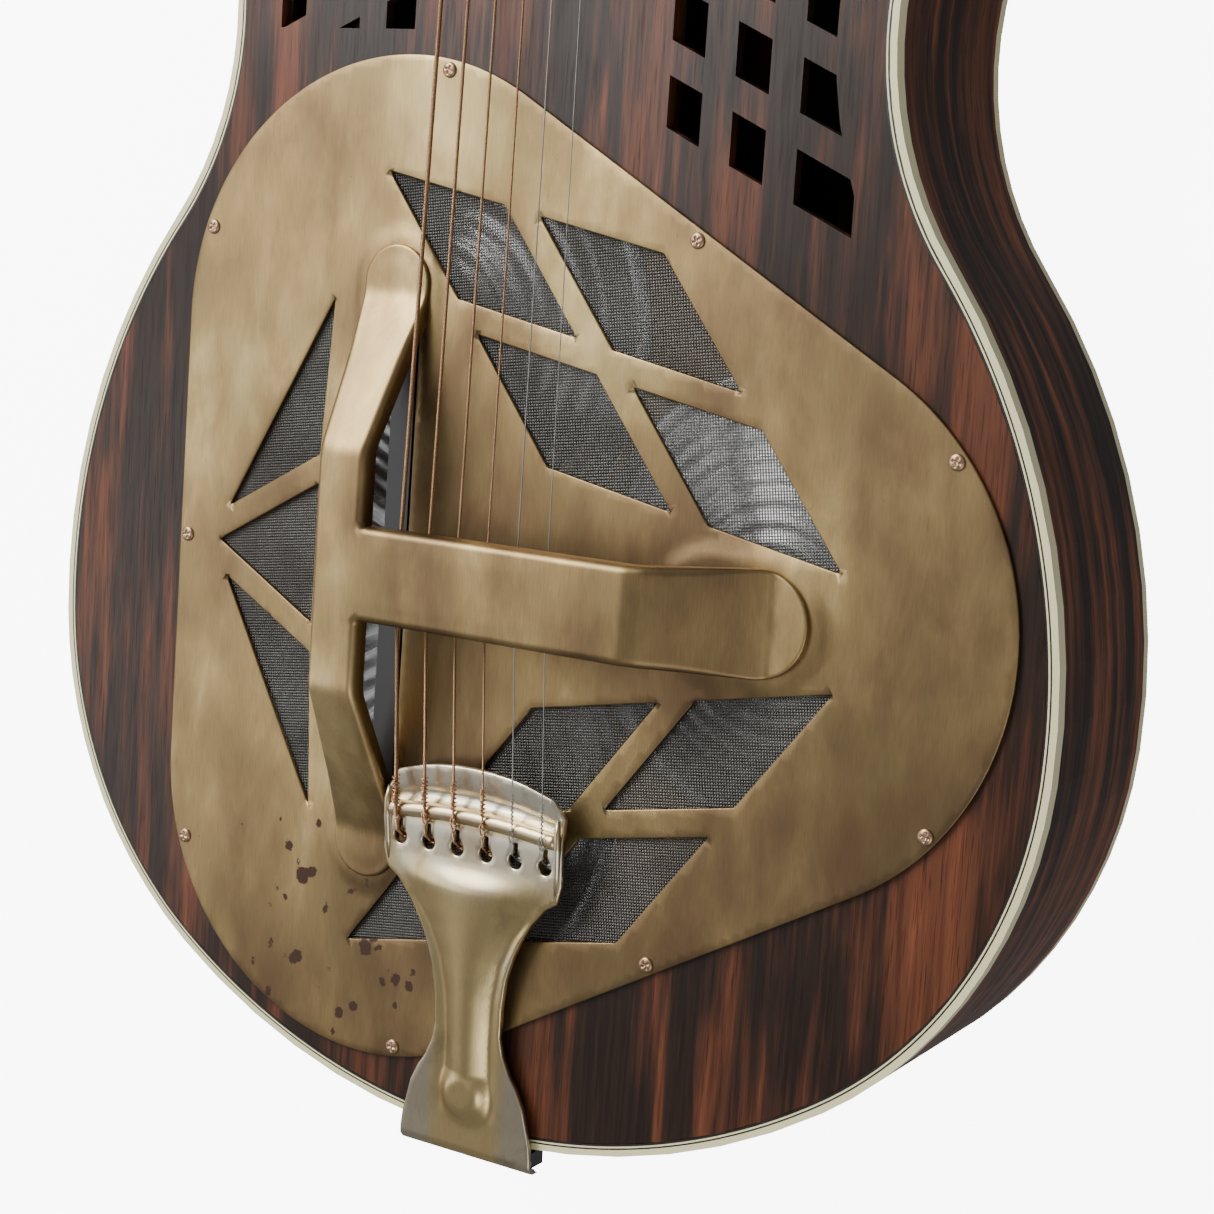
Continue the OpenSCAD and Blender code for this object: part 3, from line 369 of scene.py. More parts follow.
def spun_aluminium(name, centre):
    """Bright spun aluminium with lathe rings round its own centre."""
    f = Finish(name, metallic=1.0)
    x, y, _ = f.axes(shift=(-centre[0], -centre[1], 0))
    out = (x * x + y * y).root()
    rings, broad = f.lathe_noise(out * 2.6, 3.0), f.lathe_noise(out * 0.4 + 7.0, 2.0)
    cloud = f.noise(0.07, 4, 0.6, 0.5)
    base = f.mix(rings.between(0.35, 0.7), (0.93, 0.93, 0.94), (0.62, 0.63, 0.66))
    base = f.mix(cloud.between(0.5, 0.75) * 0.3, base, (0.45, 0.46, 0.48))
    f.feed(Base_Color=base, Roughness=0.20 + broad * 0.18 + cloud * 0.06,
           Normal=f.bump(rings * 0.6 + broad * 0.4, 0.10))
    return f.material


def woven_wire(name):
    """Fine woven screen: two families of dark wires, with daylight between them. Each wire is painted darker
    at its flanks than on its crown: painted shade and highlight.
    """
    pitch = sizes().weave
    f = Finish(name, metallic=0.85, roughness=0.42)
    x, y, _ = f.axes()
    turn = radians(8)
    u = (x * cos(turn) + y * sin(turn)) * (pi / pitch)
    v = (y * cos(turn) - x * sin(turn)) * (pi / pitch)
    warp, weft = abs(u.sine()), abs(v.sine())
    wire = warp.larger(weft)
    cloud = f.noise(0.05, 3, 0.5)
    # Darker at the wires' flanks, lighter on their crowns: painted shade and highlight on round wire.
    base = f.mix(wire.between(0.8, 1.0), (0.03, 0.029, 0.027), (0.13, 0.125, 0.115))
    base = f.mix(cloud.between(0.4, 0.7) * 0.4, base, (0.04, 0.037, 0.034))
    f.feed(Base_Color=base, Alpha=wire.between(0.87, 0.96), Normal=f.bump(warp + weft, 0.2),
           Roughness=0.36 + cloud * 0.15)
    return f.material


def wound_wire(name):
    """Bronze wrap wire: fine turns across the string, painted darker in the grooves between turns as painted
    shade.
    """
    f = Finish(name, metallic=1.0)
    _, y, _ = f.axes()
    turns = (y * (2 * pi / 0.42)).sine()
    cloud = f.noise((0.5, 0.05, 0.5), 3, 0.6)
    # Darker in the grooves between turns: painted shade.
    base = f.mix(turns.between(-0.6, 0.8), scaled(colours().bronze, 0.55), colours().bronze)
    base = f.mix(cloud.between(0.5, 0.8) * 0.3, base, (0.42, 0.24, 0.13))
    f.feed(Base_Color=base, Roughness=0.26 + cloud * 0.12, Normal=f.bump(turns, 0.08))
    return f.material


# ---------------------------------------------------------------- mesh tools, in millimetres
def arc(centre, radius, start, end, step=4.0):
    n = max(2, ceil(abs(end - start) / step))
    angles = [radians(start + (end - start) * k / n) for k in range(n + 1)]
    return [(centre[0] + radius * cos(a), centre[1] + radius * sin(a)) for a in angles]


def mirrored(half):
    """A closed outline from the points of its right half."""
    return list(half) + [(-x, y) for x, y in reversed(half)]


def resampled(loop, step):
    out = []
    for (ax, ay), (bx, by) in zip(loop, loop[1:] + loop[:1]):
        n = max(1, ceil(hypot(bx - ax, by - ay) / step))
        out += [(ax + (bx - ax) * k / n, ay + (by - ay) * k / n) for k in range(n)]
    keep = [p for k, p in enumerate(out) if hypot(p[0] - out[k - 1][0], p[1] - out[k - 1][1]) > 1e-4]
    return np.array(keep)


def inside(points, loops):
    odd = np.zeros(len(points), bool)
    x, y = points[:, 0], points[:, 1]
    for loop in loops:
        for a, b in zip(loop, np.roll(loop, -1, 0)):
            if a[1] == b[1]:
                continue
            hit = (a[1] > y) != (b[1] > y)
            odd ^= hit & (x < (b[0] - a[0]) * (y - a[1]) / (b[1] - a[1]) + a[0])
    return odd


def gap_to(points, loops):
    best = np.full(len(points), 1e9)
    for loop in loops:
        for a, b in zip(loop, np.roll(loop, -1, 0)):
            d = b - a
            t = np.clip(((points - a) @ d) / max(d @ d, 1e-12), 0, 1)
            best = np.minimum(best, np.hypot(*(points - a - t[:, None] * d).T))
    return best


def finished(name, verts, faces, material, smooth=True):
    """An object from millimetre points, at the origin."""
    mesh = bpy.data.meshes.new(name)
    mesh.from_pydata([tuple(v) for v in np.asarray(verts, float) * MM], [], [tuple(f) for f in faces])
    mesh.materials.append(material)
    mesh.polygons.foreach_set("use_smooth", [smooth] * len(mesh.polygons))
    mesh.update()
    made = bpy.data.objects.new(name, mesh)
    bpy.context.collection.objects.link(made)
    return made


def triangulated(loops, pitch, rings):
    """Flat triangles between loops: a grid at pitch, and rows of points at each ring's gap."""
    edge = np.vstack(loops)
    links, first = [], 0
    for loop in loops:
        n = len(loop)
        links += [(first + k, first + (k + 1) % n) for k in range(n)]
        first += n
    extra = []
    for d in rings:
        for loop in loops:
            along = np.roll(loop, -1, 0) - np.roll(loop, 1, 0)
            across = np.stack([-along[:, 1], along[:, 0]], 1) / np.maximum(np.hypot(*along.T), 1e-9)[:, None]
            both = np.vstack([loop + across * d, loop - across * d])
            near = gap_to(both, loops)
            extra.append(both[(near > 0.93 * d) & inside(both, loops)])
    low, high = edge.min(0), edge.max(0)
    columns, rows = np.arange(low[0], high[0], pitch), np.arange(low[1], high[1], pitch)
    grid = np.stack(np.meshgrid(columns, rows), -1).reshape(-1, 2)
    grid[:, 0] += (np.round(grid[:, 1] / pitch) % 2) * pitch / 2
    grid = grid[inside(grid, loops)]
    far = gap_to(grid, loops)
    extra.append(grid[far > max(rings) + 0.35 * pitch])
    points = np.vstack([edge] + extra)
    flat, _, tris, _, _, _ = delaunay_2d_cdt([Vector(p) for p in points], links, [], 0, 1e-5)
    flat = np.array([tuple(p) for p in flat])
    tris = np.array([t for t in tris if len(t) == 3])
    tris = tris[inside(flat[tris].mean(1), loops)]
    a, b, c = (flat[tris[:, k]] for k in range(3))
    turn = (b[:, 0] - a[:, 0]) * (c[:, 1] - a[:, 1]) - (b[:, 1] - a[:, 1]) * (c[:, 0] - a[:, 0])
    tris = tris[np.abs(turn) > 1e-9]
    turn = turn[np.abs(turn) > 1e-9]
    tris[turn < 0] = tris[turn < 0][:, ::-1]
    used = np.unique(tris)
    order = np.full(len(flat), -1)
    order[used] = np.arange(len(used))
    return flat[used], order[tris]


def pressed(name, outline, holes, top, under, material, pitch, step, rings):
    """Sheet pressed to shape. top and under give heights from x, y and the gap to the nearest edge."""
    loops = [resampled(list(loop), step) for loop in [outline] + list(holes)]
    flat, tris = triangulated(loops, pitch, rings)
    gap = gap_to(flat, loops)
    gap[gap < 1e-4] = 0
    upper = np.column_stack([flat, top(flat[:, 0], flat[:, 1], gap)])
    lower = np.column_stack([flat, under(flat[:, 0], flat[:, 1], gap)])
    n = len(flat)
    count = {}
    for t in tris:
        for i in range(3):
            pair = (t[i], t[(i + 1) % 3])
            count[pair] = count.get(pair, 0) + 1
    walls = [(b, a, a + n, b + n) for a, b in count if (b, a) not in count]
    faces = [tuple(t) for t in tris] + [tuple(t[::-1] + n) for t in tris] + walls
    return finished(name, np.vstack([upper, lower]), faces, material)


def rounded(gap, r):
    """How far a rounded edge falls below its flat at a gap from the edge."""
    inwards = np.clip(r - gap, 0, r)
    return r - np.sqrt(np.maximum(r * r - inwards * inwards, 0))


def step_up(value, low, high):
    t = np.clip((value - low) / (high - low), 0, 1)
    return t * t * (3 - 2 * t)


def profile(points, softness):
    """Height along an axis through points, with each bend softened."""
    xs = np.arange(points[0][0] - 20, points[-1][0] + 20, 0.25)
    zs = np.interp(xs, [p[0] for p in points], [p[1] for p in points])
    n = max(1, int(softness / 0.25))
    kernel = np.hanning(n + 2)[1:-1]
    zs = np.convolve(np.pad(zs, n, "edge"), kernel / kernel.sum(), "same")[n:-n]
    return lambda v: np.interp(v, xs, zs)


def to_segment(x, y, a, b):
    dx, dy = b[0] - a[0], b[1] - a[1]
    t = np.clip(((x - a[0]) * dx + (y - a[1]) * dy) / (dx * dx + dy * dy), 0, 1)
    return np.hypot(x - a[0] - t * dx, y - a[1] - t * dy)


def tube(path, radius, sides=10):
    """Round bar along a path: points and faces. radius is one number or one for each point."""
    path = np.asarray(path, float)
    n = len(path)
    radius = np.broadcast_to(radius, n)
    ahead = np.gradient(path, axis=0)
    ahead /= np.linalg.norm(ahead, axis=1)[:, None]
    side = np.cross(ahead[0], (0.31, 0.11, 0.94))
    verts, faces = [], []
    for k in range(n):
        side = side - ahead[k] * (side @ ahead[k])
        side /= np.linalg.norm(side)
        other = np.cross(ahead[k], side)
        for s in range(sides):
            a = 2 * pi * s / sides
            verts.append(path[k] + radius[k] * (cos(a) * side + sin(a) * other))
    for k in range(n - 1):
        for s in range(sides):
            t = (s + 1) % sides
            faces.append((k * sides + s, k * sides + t, (k + 1) * sides + t, (k + 1) * sides + s))
    faces += [tuple(range(sides))[::-1], tuple((n - 1) * sides + s for s in range(sides))]
    return verts, faces


def turned(outline, centre, sides=96):
    """Closed lathe shape round an upright axis, from (radius, height) pairs: points and faces."""
    n = len(outline)
    verts = [(centre[0] + r * cos(a), centre[1] + r * sin(a), z)
             for a in np.linspace(0, 2 * pi, sides, endpoint=False) for r, z in outline]
    faces = []
    for s in range(sides):
        t = (s + 1) % sides
        for k in range(n):
            j = (k + 1) % n
            faces.append((s * n + k, t * n + k, t * n + j, s * n + j))
    return verts, faces


def joined(*parts):
    verts, faces = [], []
    for v, f in parts:
        faces += [tuple(i + len(verts) for i in face) for face in f]
        verts += list(v)
    return verts, faces


def put(piece, slot, *nodes, body=ROOT):
    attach(piece, body)
    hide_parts(*nodes)


def dress(material, *nodes):
    """Gives CAD nodes their finish."""
    for name in nodes:
        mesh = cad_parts[name].data
        mesh.materials.clear()
        mesh.materials.append(material)


def plate_outline():
    return [p for k, c in enumerate(CORNERS) for p in arc(c, PLATE_R, 120 * k - 60, 120 * k + 60, 2.0)]


# ---------------------------------------------------------------- coverplate
def pane_loops():
    """The plate's windows: two groups of four slanted panes, three on the bass side."""
    lean_a, lean_b = radians(-11.2), radians(-52.9)
    a, b = (np.array([cos(lean), sin(lean)]) for lean in (lean_a, lean_b))
    skew, rib = sin(lean_a - lean_b), 9
    wide, tall, centre = 46.4, 49.2, np.array([32.3, 72.8])
    pitch_a, pitch_b = wide + rib / skew, tall + rib / skew
    signs = ((-1, -1), (1, -1), (1, 1), (-1, 1))
    out = []
    for i in (-0.5, 0.5):
        for j in (-0.5, 0.5):
            mid = centre + i * pitch_a * a + j * pitch_b * b
            loop = [tuple(mid + u * a * wide / 2 + v * b * tall / 2) for u, v in signs]
            out += [loop, [(x, -y) for x, y in loop]]
    rise = 0.57
    near, far, far_outer = -76, -117, -113.5
    middle, outer = (near - far) * rise, (near - far_outer) * rise
    out.append([(far, 0), (near, middle), (near, -middle)])
    upper = [(far_outer, 12), (near, 12 + outer), (-73, 85.5)]
    out += [upper, [(x, -y) for x, y in upper]]
    return out


def screw_places():
    """Two screws round each corner, and one halfway along each side."""
    places = []
    for k, c in enumerate(CORNERS):
        places += [arc(c, SCREW_ARC_R, 120 * k + s, 120 * k + s + 1)[0] for s in (-40, 40)]
        other = CORNERS[(k + 1) % 3]
        mid = ((c[0] + other[0]) / 2, (c[1] + other[1]) / 2)
        places.append(arc(mid, SCREW_ARC_R, 120 * k + 60, 120 * k + 61)[0])
    return places


class GUITAR_OT_coverplate(bpy.types.Operator):
    """Presses the brass coverplate, with its windows, bridge slot and raised seats"""
    bl_idname = "guitar.coverplate"
    bl_label = "Coverplate"

    def execute(self, context):
        s = sizes()
        left, right, reach, half, end = BAR_X - 11, -38, 86, 8, 93
        slot = [(left, -reach), (right, -reach), (right, -half), (end, -half),
                (end, half), (right, half), (right, reach), (left, reach)]

        def seat(x, y):
            bar = to_segment(x, abs(y), (BAR_X, 62), (BAR_X, 92)) - 16.5
            stem = to_segment(x, y, (76, 0), (93, 0)) - 20.5
            return s.seat_height * np.maximum(step_up(bar, 1.6, -1.6), step_up(stem, 1.6, -1.6))

        def top(x, y, gap):
            return PLATE_Z - rounded(gap, s.plate_edge) + seat(x, y) * step_up(gap, 0, 1.2)

        def under(x, y, gap):
            return np.full(len(x), TOP_Z + 0.02) + seat(x, y) * 0.9 * step_up(gap, 0.5, 1.5)

        piece = pressed("coverplate_pressed", plate_outline(), pane_loops() + [slot], top, under,
                        brass("Coverplate brass", pits=True), pitch=2.6, step=2.2,
                        rings=(0.12 * s.plate_edge, 0.45 * s.plate_edge, s.plate_edge))
        put(piece, "aged_brass", "coverplate")
        return {"FINISHED"}


# ---------------------------------------------------------------- handrest
class GUITAR_OT_handrest(bpy.types.Operator):
    """Presses the T-shaped handrest: flat bar, sloping arms, round feet and stepped stem"""
    bl_idname = "guitar.handrest"
    bl_label = "Handrest"

    def execute(self, context):
        s = sizes()
        foot, high = PLATE_Z + 2.6, TOP_Z + 28
        bend, foot_y, step_x, foot_x = 39, 92, 63, 93
        bar = profile([(-106, foot), (-88, foot), (-bend, high), (bend, high), (88, foot), (106, foot)], 9)
        stem = profile([(BAR_X, high), (60.5, high), (62.5, high - 1.2), (64, high - 1.2), (97, foot),
                        (111, foot)], 4.5)
        w, pad, stem_w, stem_pad = 9.3, 12.5, 15.2, 16.7
        left, right = BAR_X - w, BAR_X + w
        lower_cap = arc((BAR_X, -foot_y), pad, 180, 360, 8)
        upper_cap = arc((BAR_X, foot_y), pad, 0, 180, 8)
        stem_cap = arc((foot_x, 0), stem_pad, -86, 86, 6)
        outline = ([(right, -bend), (right, -stem_w), (step_x, -stem_w)] + stem_cap
                   + [(step_x, stem_w), (right, stem_w), (right, bend)] + upper_cap
                   + [(left, bend), (left, -bend)] + lower_cap)

        def crown(x, y):
            on_bar = (x <= right + 0.01) | (np.abs(y) > stem_pad + 1)
            z = np.where(on_bar, bar(y), stem(x))
            return np.where(on_bar & (np.abs(y) < stem_w + 4), np.maximum(z, high - 0.01), z)

        def round_at(x, y):
            """Feet have a thin edge, the rest a full one."""
            feet = np.maximum(step_up(np.abs(y), 66, 90), step_up(x, 72, 98))
            return s.rest_round * (1 - feet) + 0.7 * feet

        def top(x, y, gap):
            dish = 0.2 * step_up(gap, 7, 2.5) * step_up(x, 40, 20)
            return np.maximum(crown(x, y) - rounded(gap, round_at(x, y)) - dish, PLATE_Z + 0.3)

        def under(x, y, gap):
            z = crown(x, y)
            wall = np.minimum(z - 6.4, z - round_at(x, y) - 1.0)
            return np.maximum(np.where(gap < 1.35, wall, z - 1.75), PLATE_Z + 0.05)

        piece = pressed("handrest_pressed", outline, [], top, under, brass("Handrest brass", polish=0.035),
                        pitch=1.6, step=1.6, rings=(0.12, 0.35, 0.7, 1.2, 1.5, 2.1, 2.7))
        put(piece, "aged_brass", "handrest")
        return {"FINISHED"}


# ---------------------------------------------------------------- tailpiece
TAIL_HALF = [(20, -61), (30, -64), (34, -70), (34.5, -91), (33, -97), (28.5, -100), (23.5, -106), (20, -112),
             (17.2, -118), (14.6, -126), (13.2, -136), (12.8, -146), (14, -152), (16.6, -158), (19.3, -162),
             (22.2, -168), (25.2, -180), (25.7, -184.5), (25.8, -189.4)]


# Half width of the raised ridge: distances down the tail, and the half widths there
RIDGE_HALF = ((91, 98, 104, 112, 122, 134, 150, 163), (31, 27, 20.5, 15, 11, 8.8, 8.0, 8.4))


def hole_x(k):
    return (k - 2.5) * HOLE_PITCH


def bar_y(x):
    """The tailpiece's rolled bar bows towards the tail at its ends."""
    return -75.2 - 0.0021 * x * x


def tail_metal():
    """Thin nickel over brass: pale on the string head, warmer down the stem."""
    f = Finish("Tailpiece metal", metallic=1.0)
    x, y, _ = f.axes()
    cloud = f.noise((0.05, 0.04, 0.05), 5, 0.62, 0.6)
    grain = f.noise((3.6, 0.25, 3.6), 3, 0.6)
    warm = (cloud * 30 - y).between(92, 118)
    edge = (abs(x) + cloud * 6).between(13, 21) * y.between(-112, -126)
    rolled = y.between(-80, -78.5) * y.between(-70.5, -72)
    base = f.mix(warm, (0.80, 0.74, 0.60), (0.62, 0.475, 0.235))
    base = f.mix(edge * 0.7, base, (0.50, 0.47, 0.41))
    base = f.mix(rolled * 0.8, base, (0.60, 0.46, 0.25))
    base = f.mix(cloud.between(0.50, 0.72) * 0.5, base, (0.27, 0.205, 0.115))
    base = f.mix(grain.between(0.4, 0.8) * 0.3, base, (0.6, 0.52, 0.4), "MULTIPLY")
    f.feed(Base_Color=base, Roughness=0.22 + cloud * 0.16 + grain * 0.06, Normal=f.bump(grain, 0.03))
    return f.material


class GUITAR_OT_tailpiece(bpy.types.Operator):
    """Presses the tailpiece: lip, string holes, funnel and round boss, with its rolled bar"""
    bl_idname = "guitar.tailpiece"
    bl_label = "Tailpiece"

    def execute(self, context):
        s, z, metal = sizes(), TOP_Z, tail_metal()
        side = profile([(-190, z + 3.6), (-178, z + 3.9), (-150, z + 5.6), (-100, z + 9.2), (-80, z + 10.2),
                        (-70, z + 9.2), (-61, z + 10.8)], 6)
        outline = mirrored([(0, -59), (7, -59.2), (14, -59.9)] + TAIL_HALF)
        outline = [p for k, p in enumerate(outline) if p != outline[k - 1]]
        holes = []
        for x in map(hole_x, range(6)):
            drop = arc((x, HOLE_Y), 2.5, 110, 430, 20)
            holes.append(drop + [(x + 0.75, -80.2), (x - 0.75, -80.2)])

        def lines(x, y):
            half = np.interp(-y, *RIDGE_HALF)
            run = step_up(y, -90, -99) * step_up(y, -177, -169)
            ridge = np.cos(np.clip(np.abs(x) / half, 0, 1) * np.pi / 2) ** 1.2 * run
            beside = np.exp(-((np.abs(x) - 1.12 * half) / 1.5) ** 2) * run * step_up(y, -100, -108) * 0.7
            boss = np.hypot(x, y + 167.5) / 10.6
            dome = step_up(boss, 1.08, 0.45)
            groove = np.exp(-((y + 69 + 0.004 * x * x) / 1.5) ** 2) * 1.3
            return 3.0 * np.maximum(ridge, 1.08 * dome) - groove - beside

        def top(x, y, gap):
            curl = 1.6 * step_up(y, -186.2, -189.4) ** 2
            return side(y) - rounded(gap, s.tail_round) + lines(x, y) * step_up(gap, 0, 2) - curl

        def under(x, y, gap):
            skirt = 4.6 * step_up(y, -188.3, -188.7)
            thin = 0.9 * step_up(y, -180, -184)
            return side(y) - 1.8 + thin + lines(x, y) * 0.85 * step_up(gap, 0.4, 2) - skirt

        piece = pressed("tailpiece_pressed", outline, holes, top, under, metal, pitch=1.3, step=1.2,
                        rings=(0.1, 0.3, 0.7))
        put(piece, "tail_brass", "tailpiece", body=TAIL)
        across = np.linspace(-32.2, 32.2, 45)
        bar = [(x, bar_y(x), z + 9.45) for x in across]
        fat = 2.7 * np.sqrt(np.clip((34.2 - np.abs(across)) / 2.2, 0.1, 1))
        ears = []
        for e in (-1, 1):
            ear = [(e * 32.5, -70, z + 10.5), (e * 32.8, -74, z + 11.1), (e * 32.9, -80, z + 10.6),
                   (e * 32.7, -88, z + 9.6), (e * 32.2, -95, z + 8.8)]
            ears.append(tube(ear, (0.8, 1.1, 1.2, 1.1, 0.6)))
        knuckle = tube([(x, -186.65, z + 0.75) for x in (-12.4, -12.1, 12.1, 12.4)], (2.3, 2.7, 2.7, 2.3), 24)
        extra = finished("tailpiece_bar", *joined(tube(bar, fat, 20), knuckle, *ears), metal)
        put(extra, "tail_brass", "tailpiece", body=TAIL)
        return {"FINISHED"}


# ---------------------------------------------------------------- cones and screens
class GUITAR_OT_cones(bpy.types.Operator):
    """Spins the three aluminium cones with their rings"""
    bl_idname = "guitar.cones"
    bl_label = "Cones"

    def execute(self, context):
        s = sizes()
        z, out, cap, rim, gauge = SHELF_Z, 70.0, 11.0, 76.0, 0.45
        for node, centre in (("cone_treble", TREBLE), ("cone_bass_upper", UPPER), ("cone_bass_lower", LOWER)):
            line = [(rim, z + 0.1), (rim - 1.2, z + 0.5), (out + 1, z + 0.35), (out, z + 0.1)]
            n = s.cone_rings * 8
            for k in range(1, n):
                t = k / n
                fade = min(1, 6 * t, 6 * (1 - t))
                wave = s.cone_ring_depth * sin(2 * pi * s.cone_rings * t) * fade
                bow = 1.1 * sin(pi * t)
                line.append((out + (cap - out) * t, z + CONE_H * t + wave * 0.5 + bow))
            line += [(cap, z + CONE_H), (cap - 1.5, z + CONE_H + 0.2), (1.2, z + CONE_H)]
            below = [(r, height - gauge) for r, height in reversed(line)]
            verts, faces = turned(line + below, centre, 120)
            metal = spun_aluminium("Aluminium " + node, centre)
            piece = finished(node + "_spun", verts, [f[::-1] for f in faces], metal)
            put(piece, "cone_alu", node)
        dress(woven_wire("Woven wire"), "screen_upper", "screen_lower", "screen_bass")
        return {"FINISHED"}


# ---------------------------------------------------------------- screws
def screw_head():
    """One domed head with a cross recess, of unit radius."""
    sides, rows = 32, (1.0, 0.97, 0.88, 0.76, 0.64, 0.52, 0.40, 0.28, 0.16)
    cross_half, cross_reach, cross_depth = 0.13, 0.60, 0.22
    verts, faces = [], []
    for r in rows:
        for k in range(sides):
            a = 2 * pi * k / sides
            x, y = r * cos(a), r * sin(a)
            slot = min(abs(x), abs(y)) < cross_half and max(abs(x), abs(y)) < cross_reach
            z = 0.06 if r == 1.0 else 0.12 + 0.30 * sqrt(1 - r * r)
            verts.append((x, y, z - (cross_depth if slot else 0.0)))
    verts += [(0, 0, 0.16), *[(x, y, 0.0) for x, y, _ in verts[:sides]], (0, 0, 0)]
    n = len(rows) * sides
    for row in range(len(rows) - 1):
        for k in range(sides):
            j = (k + 1) % sides
            faces.append((row * sides + k, row * sides + j, (row + 1) * sides + j, (row + 1) * sides + k))
    last = (len(rows) - 1) * sides
    for k in range(sides):
        j = (k + 1) % sides
        rim, rim_next = n + 1 + k, n + 1 + j
        faces += [(last + k, last + j, n), (rim, rim_next, j, k), (rim_next, rim, n + 1 + sides)]
    return verts, faces


def scattered(name, places, master, material, radius):
    """Geometry Nodes: one turned copy of master on each place."""
    cloud = bpy.data.meshes.new(name + "_places")
    cloud.from_pydata([tuple(c * MM for c in p) for p in places], [], [])
    holder = bpy.data.objects.new(name, cloud)
    bpy.context.collection.objects.link(holder)
    tree = bpy.data.node_groups.new(name + "_on_places", "GeometryNodeTree")
    face = tree.interface
    face.new_socket("Geometry", in_out="INPUT", socket_type="NodeSocketGeometry")
    size = face.new_socket("Head radius", in_out="INPUT", socket_type="NodeSocketFloat")
    seed = face.new_socket("Seed", in_out="INPUT", socket_type="NodeSocketInt")
    face.new_socket("Geometry", in_out="OUTPUT", socket_type="NodeSocketGeometry")
    add = tree.nodes.new
    come, go = add("NodeGroupInput"), add("NodeGroupOutput")
    info, turn = add("GeometryNodeObjectInfo"), add("FunctionNodeRandomValue")
    copies, real = add("GeometryNodeInstanceOnPoints"), add("GeometryNodeRealizeInstances")
    paint = add("GeometryNodeSetMaterial")
    info.inputs["Object"].default_value = master
    turn.data_type = "FLOAT_VECTOR"
    turn.inputs["Max"].default_value = (0.0, 0.0, 6.28)
    paint.inputs["Material"].default_value = material
    for a, out, b, into in ((come, "Geometry", copies, "Points"), (info, "Geometry", copies, "Instance"),
                            (come, "Seed", turn, "Seed"), (turn, "Value", copies, "Rotation"),
                            (come, "Head radius", copies, "Scale"), (copies, "Instances", real, "Geometry"),
                            (real, "Geometry", paint, "Geometry"), (paint, "Geometry", go, "Geometry")):
        tree.links.new(a.outputs[out], b.inputs[into])
    work = holder.modifiers.new("Places", "NODES")
    work.node_group = tree
    work[size.identifier] = radius
    work[seed.identifier] = 7
    ready = holder.evaluated_get(bpy.context.evaluated_depsgraph_get())
    mesh = bpy.data.meshes.new_from_object(ready)
    holder.modifiers.clear()
    holder.data = mesh
    bpy.data.objects.remove(master)
    mesh.shade_smooth()
    return holder


class GUITAR_OT_screws(bpy.types.Operator):
    """Sets the coverplate's cross-headed screws"""
    bl_idname = "guitar.screws"
    bl_label = "Screws"

    def execute(self, context):
        copper = plated("Screw copper", (0.46, 0.30, 0.19), 0.28, (0.2, 0.11, 0.06))
        master = finished("screw_master", *screw_head(), copper)
        places = [(x, y, PLATE_Z) for x, y in screw_places()]
        piece = scattered("coverplate_screw_heads", places, master, copper, sizes().screw_radius)
        put(piece, "screw_copper", "coverplate_screws")
        return {"FINISHED"}


# ---------------------------------------------------------------- strings
def tail_run(k):
    """From the ball under the tailpiece, through its hole and over its bar."""
    x = hole_x(k)
    over = [(x, bar_y(x) + 3.2 * cos(a), TOP_Z + 9.7 + (2.55 + STRING_R[k]) * sin(a))
            for a in np.radians([165, 140, 115, 95])]
    return [(x, HOLE_Y, 81.6), (x, -85.6, 84.5), (x, -83.6, 87.4), (x, -80.5, 88.2)] + over


def tail_end(k, y0, z0):
    """The twist that starts at y0 and z0, the loop before it, and the ball."""
    x, r = hole_x(k), STRING_R[k]
    turns, wrap = sizes().twist_turns, 0.34 if k < 4 else 0.2
    helix = []
    for t in np.linspace(0, 1, turns * 10):
        a = 2 * pi * turns * t
        y = y0 + 1.0 + 9.5 * t
        mid = z0 + (SADDLE_Z - z0) * (y - y0) / -y0
        helix.append((x + (r + wrap) * cos(a), y, mid + (r + wrap) * sin(a)))
    loop = [(x + 0.9 * cos(a), -77.6 + 2.2 * sin(a), TOP_Z + 12.6 + 0.5 * sin(a))
            for a in np.linspace(0.3, 5.9, 18)]
    ball = [(x + b, HOLE_Y, BALL_Z) for b in (-1.9, -1.7, 1.7, 1.9)]
    return tube(helix, wrap, 6), tube(loop, wrap, 6), tube(ball, (1.3, 1.9, 1.9, 1.3), 14)


def post_end(k):
    """Where a string meets its post on the tilted headstock."""
    side, rank = (-1, k) if k < 3 else (1, 5 - k)
    clear = POST_R + 2 * WRAP_R + STRING_R[k] + 0.2
    u, v, w = side * (POST_X - clear), FIRST_POST - 2 + POST_PITCH * rank, 6.0
    return (u, HEAD_Y + v * cos(HEAD_TILT) + w * sin(HEAD_TILT),
            HEAD_Z - v * sin(HEAD_TILT) + w * cos(HEAD_TILT))


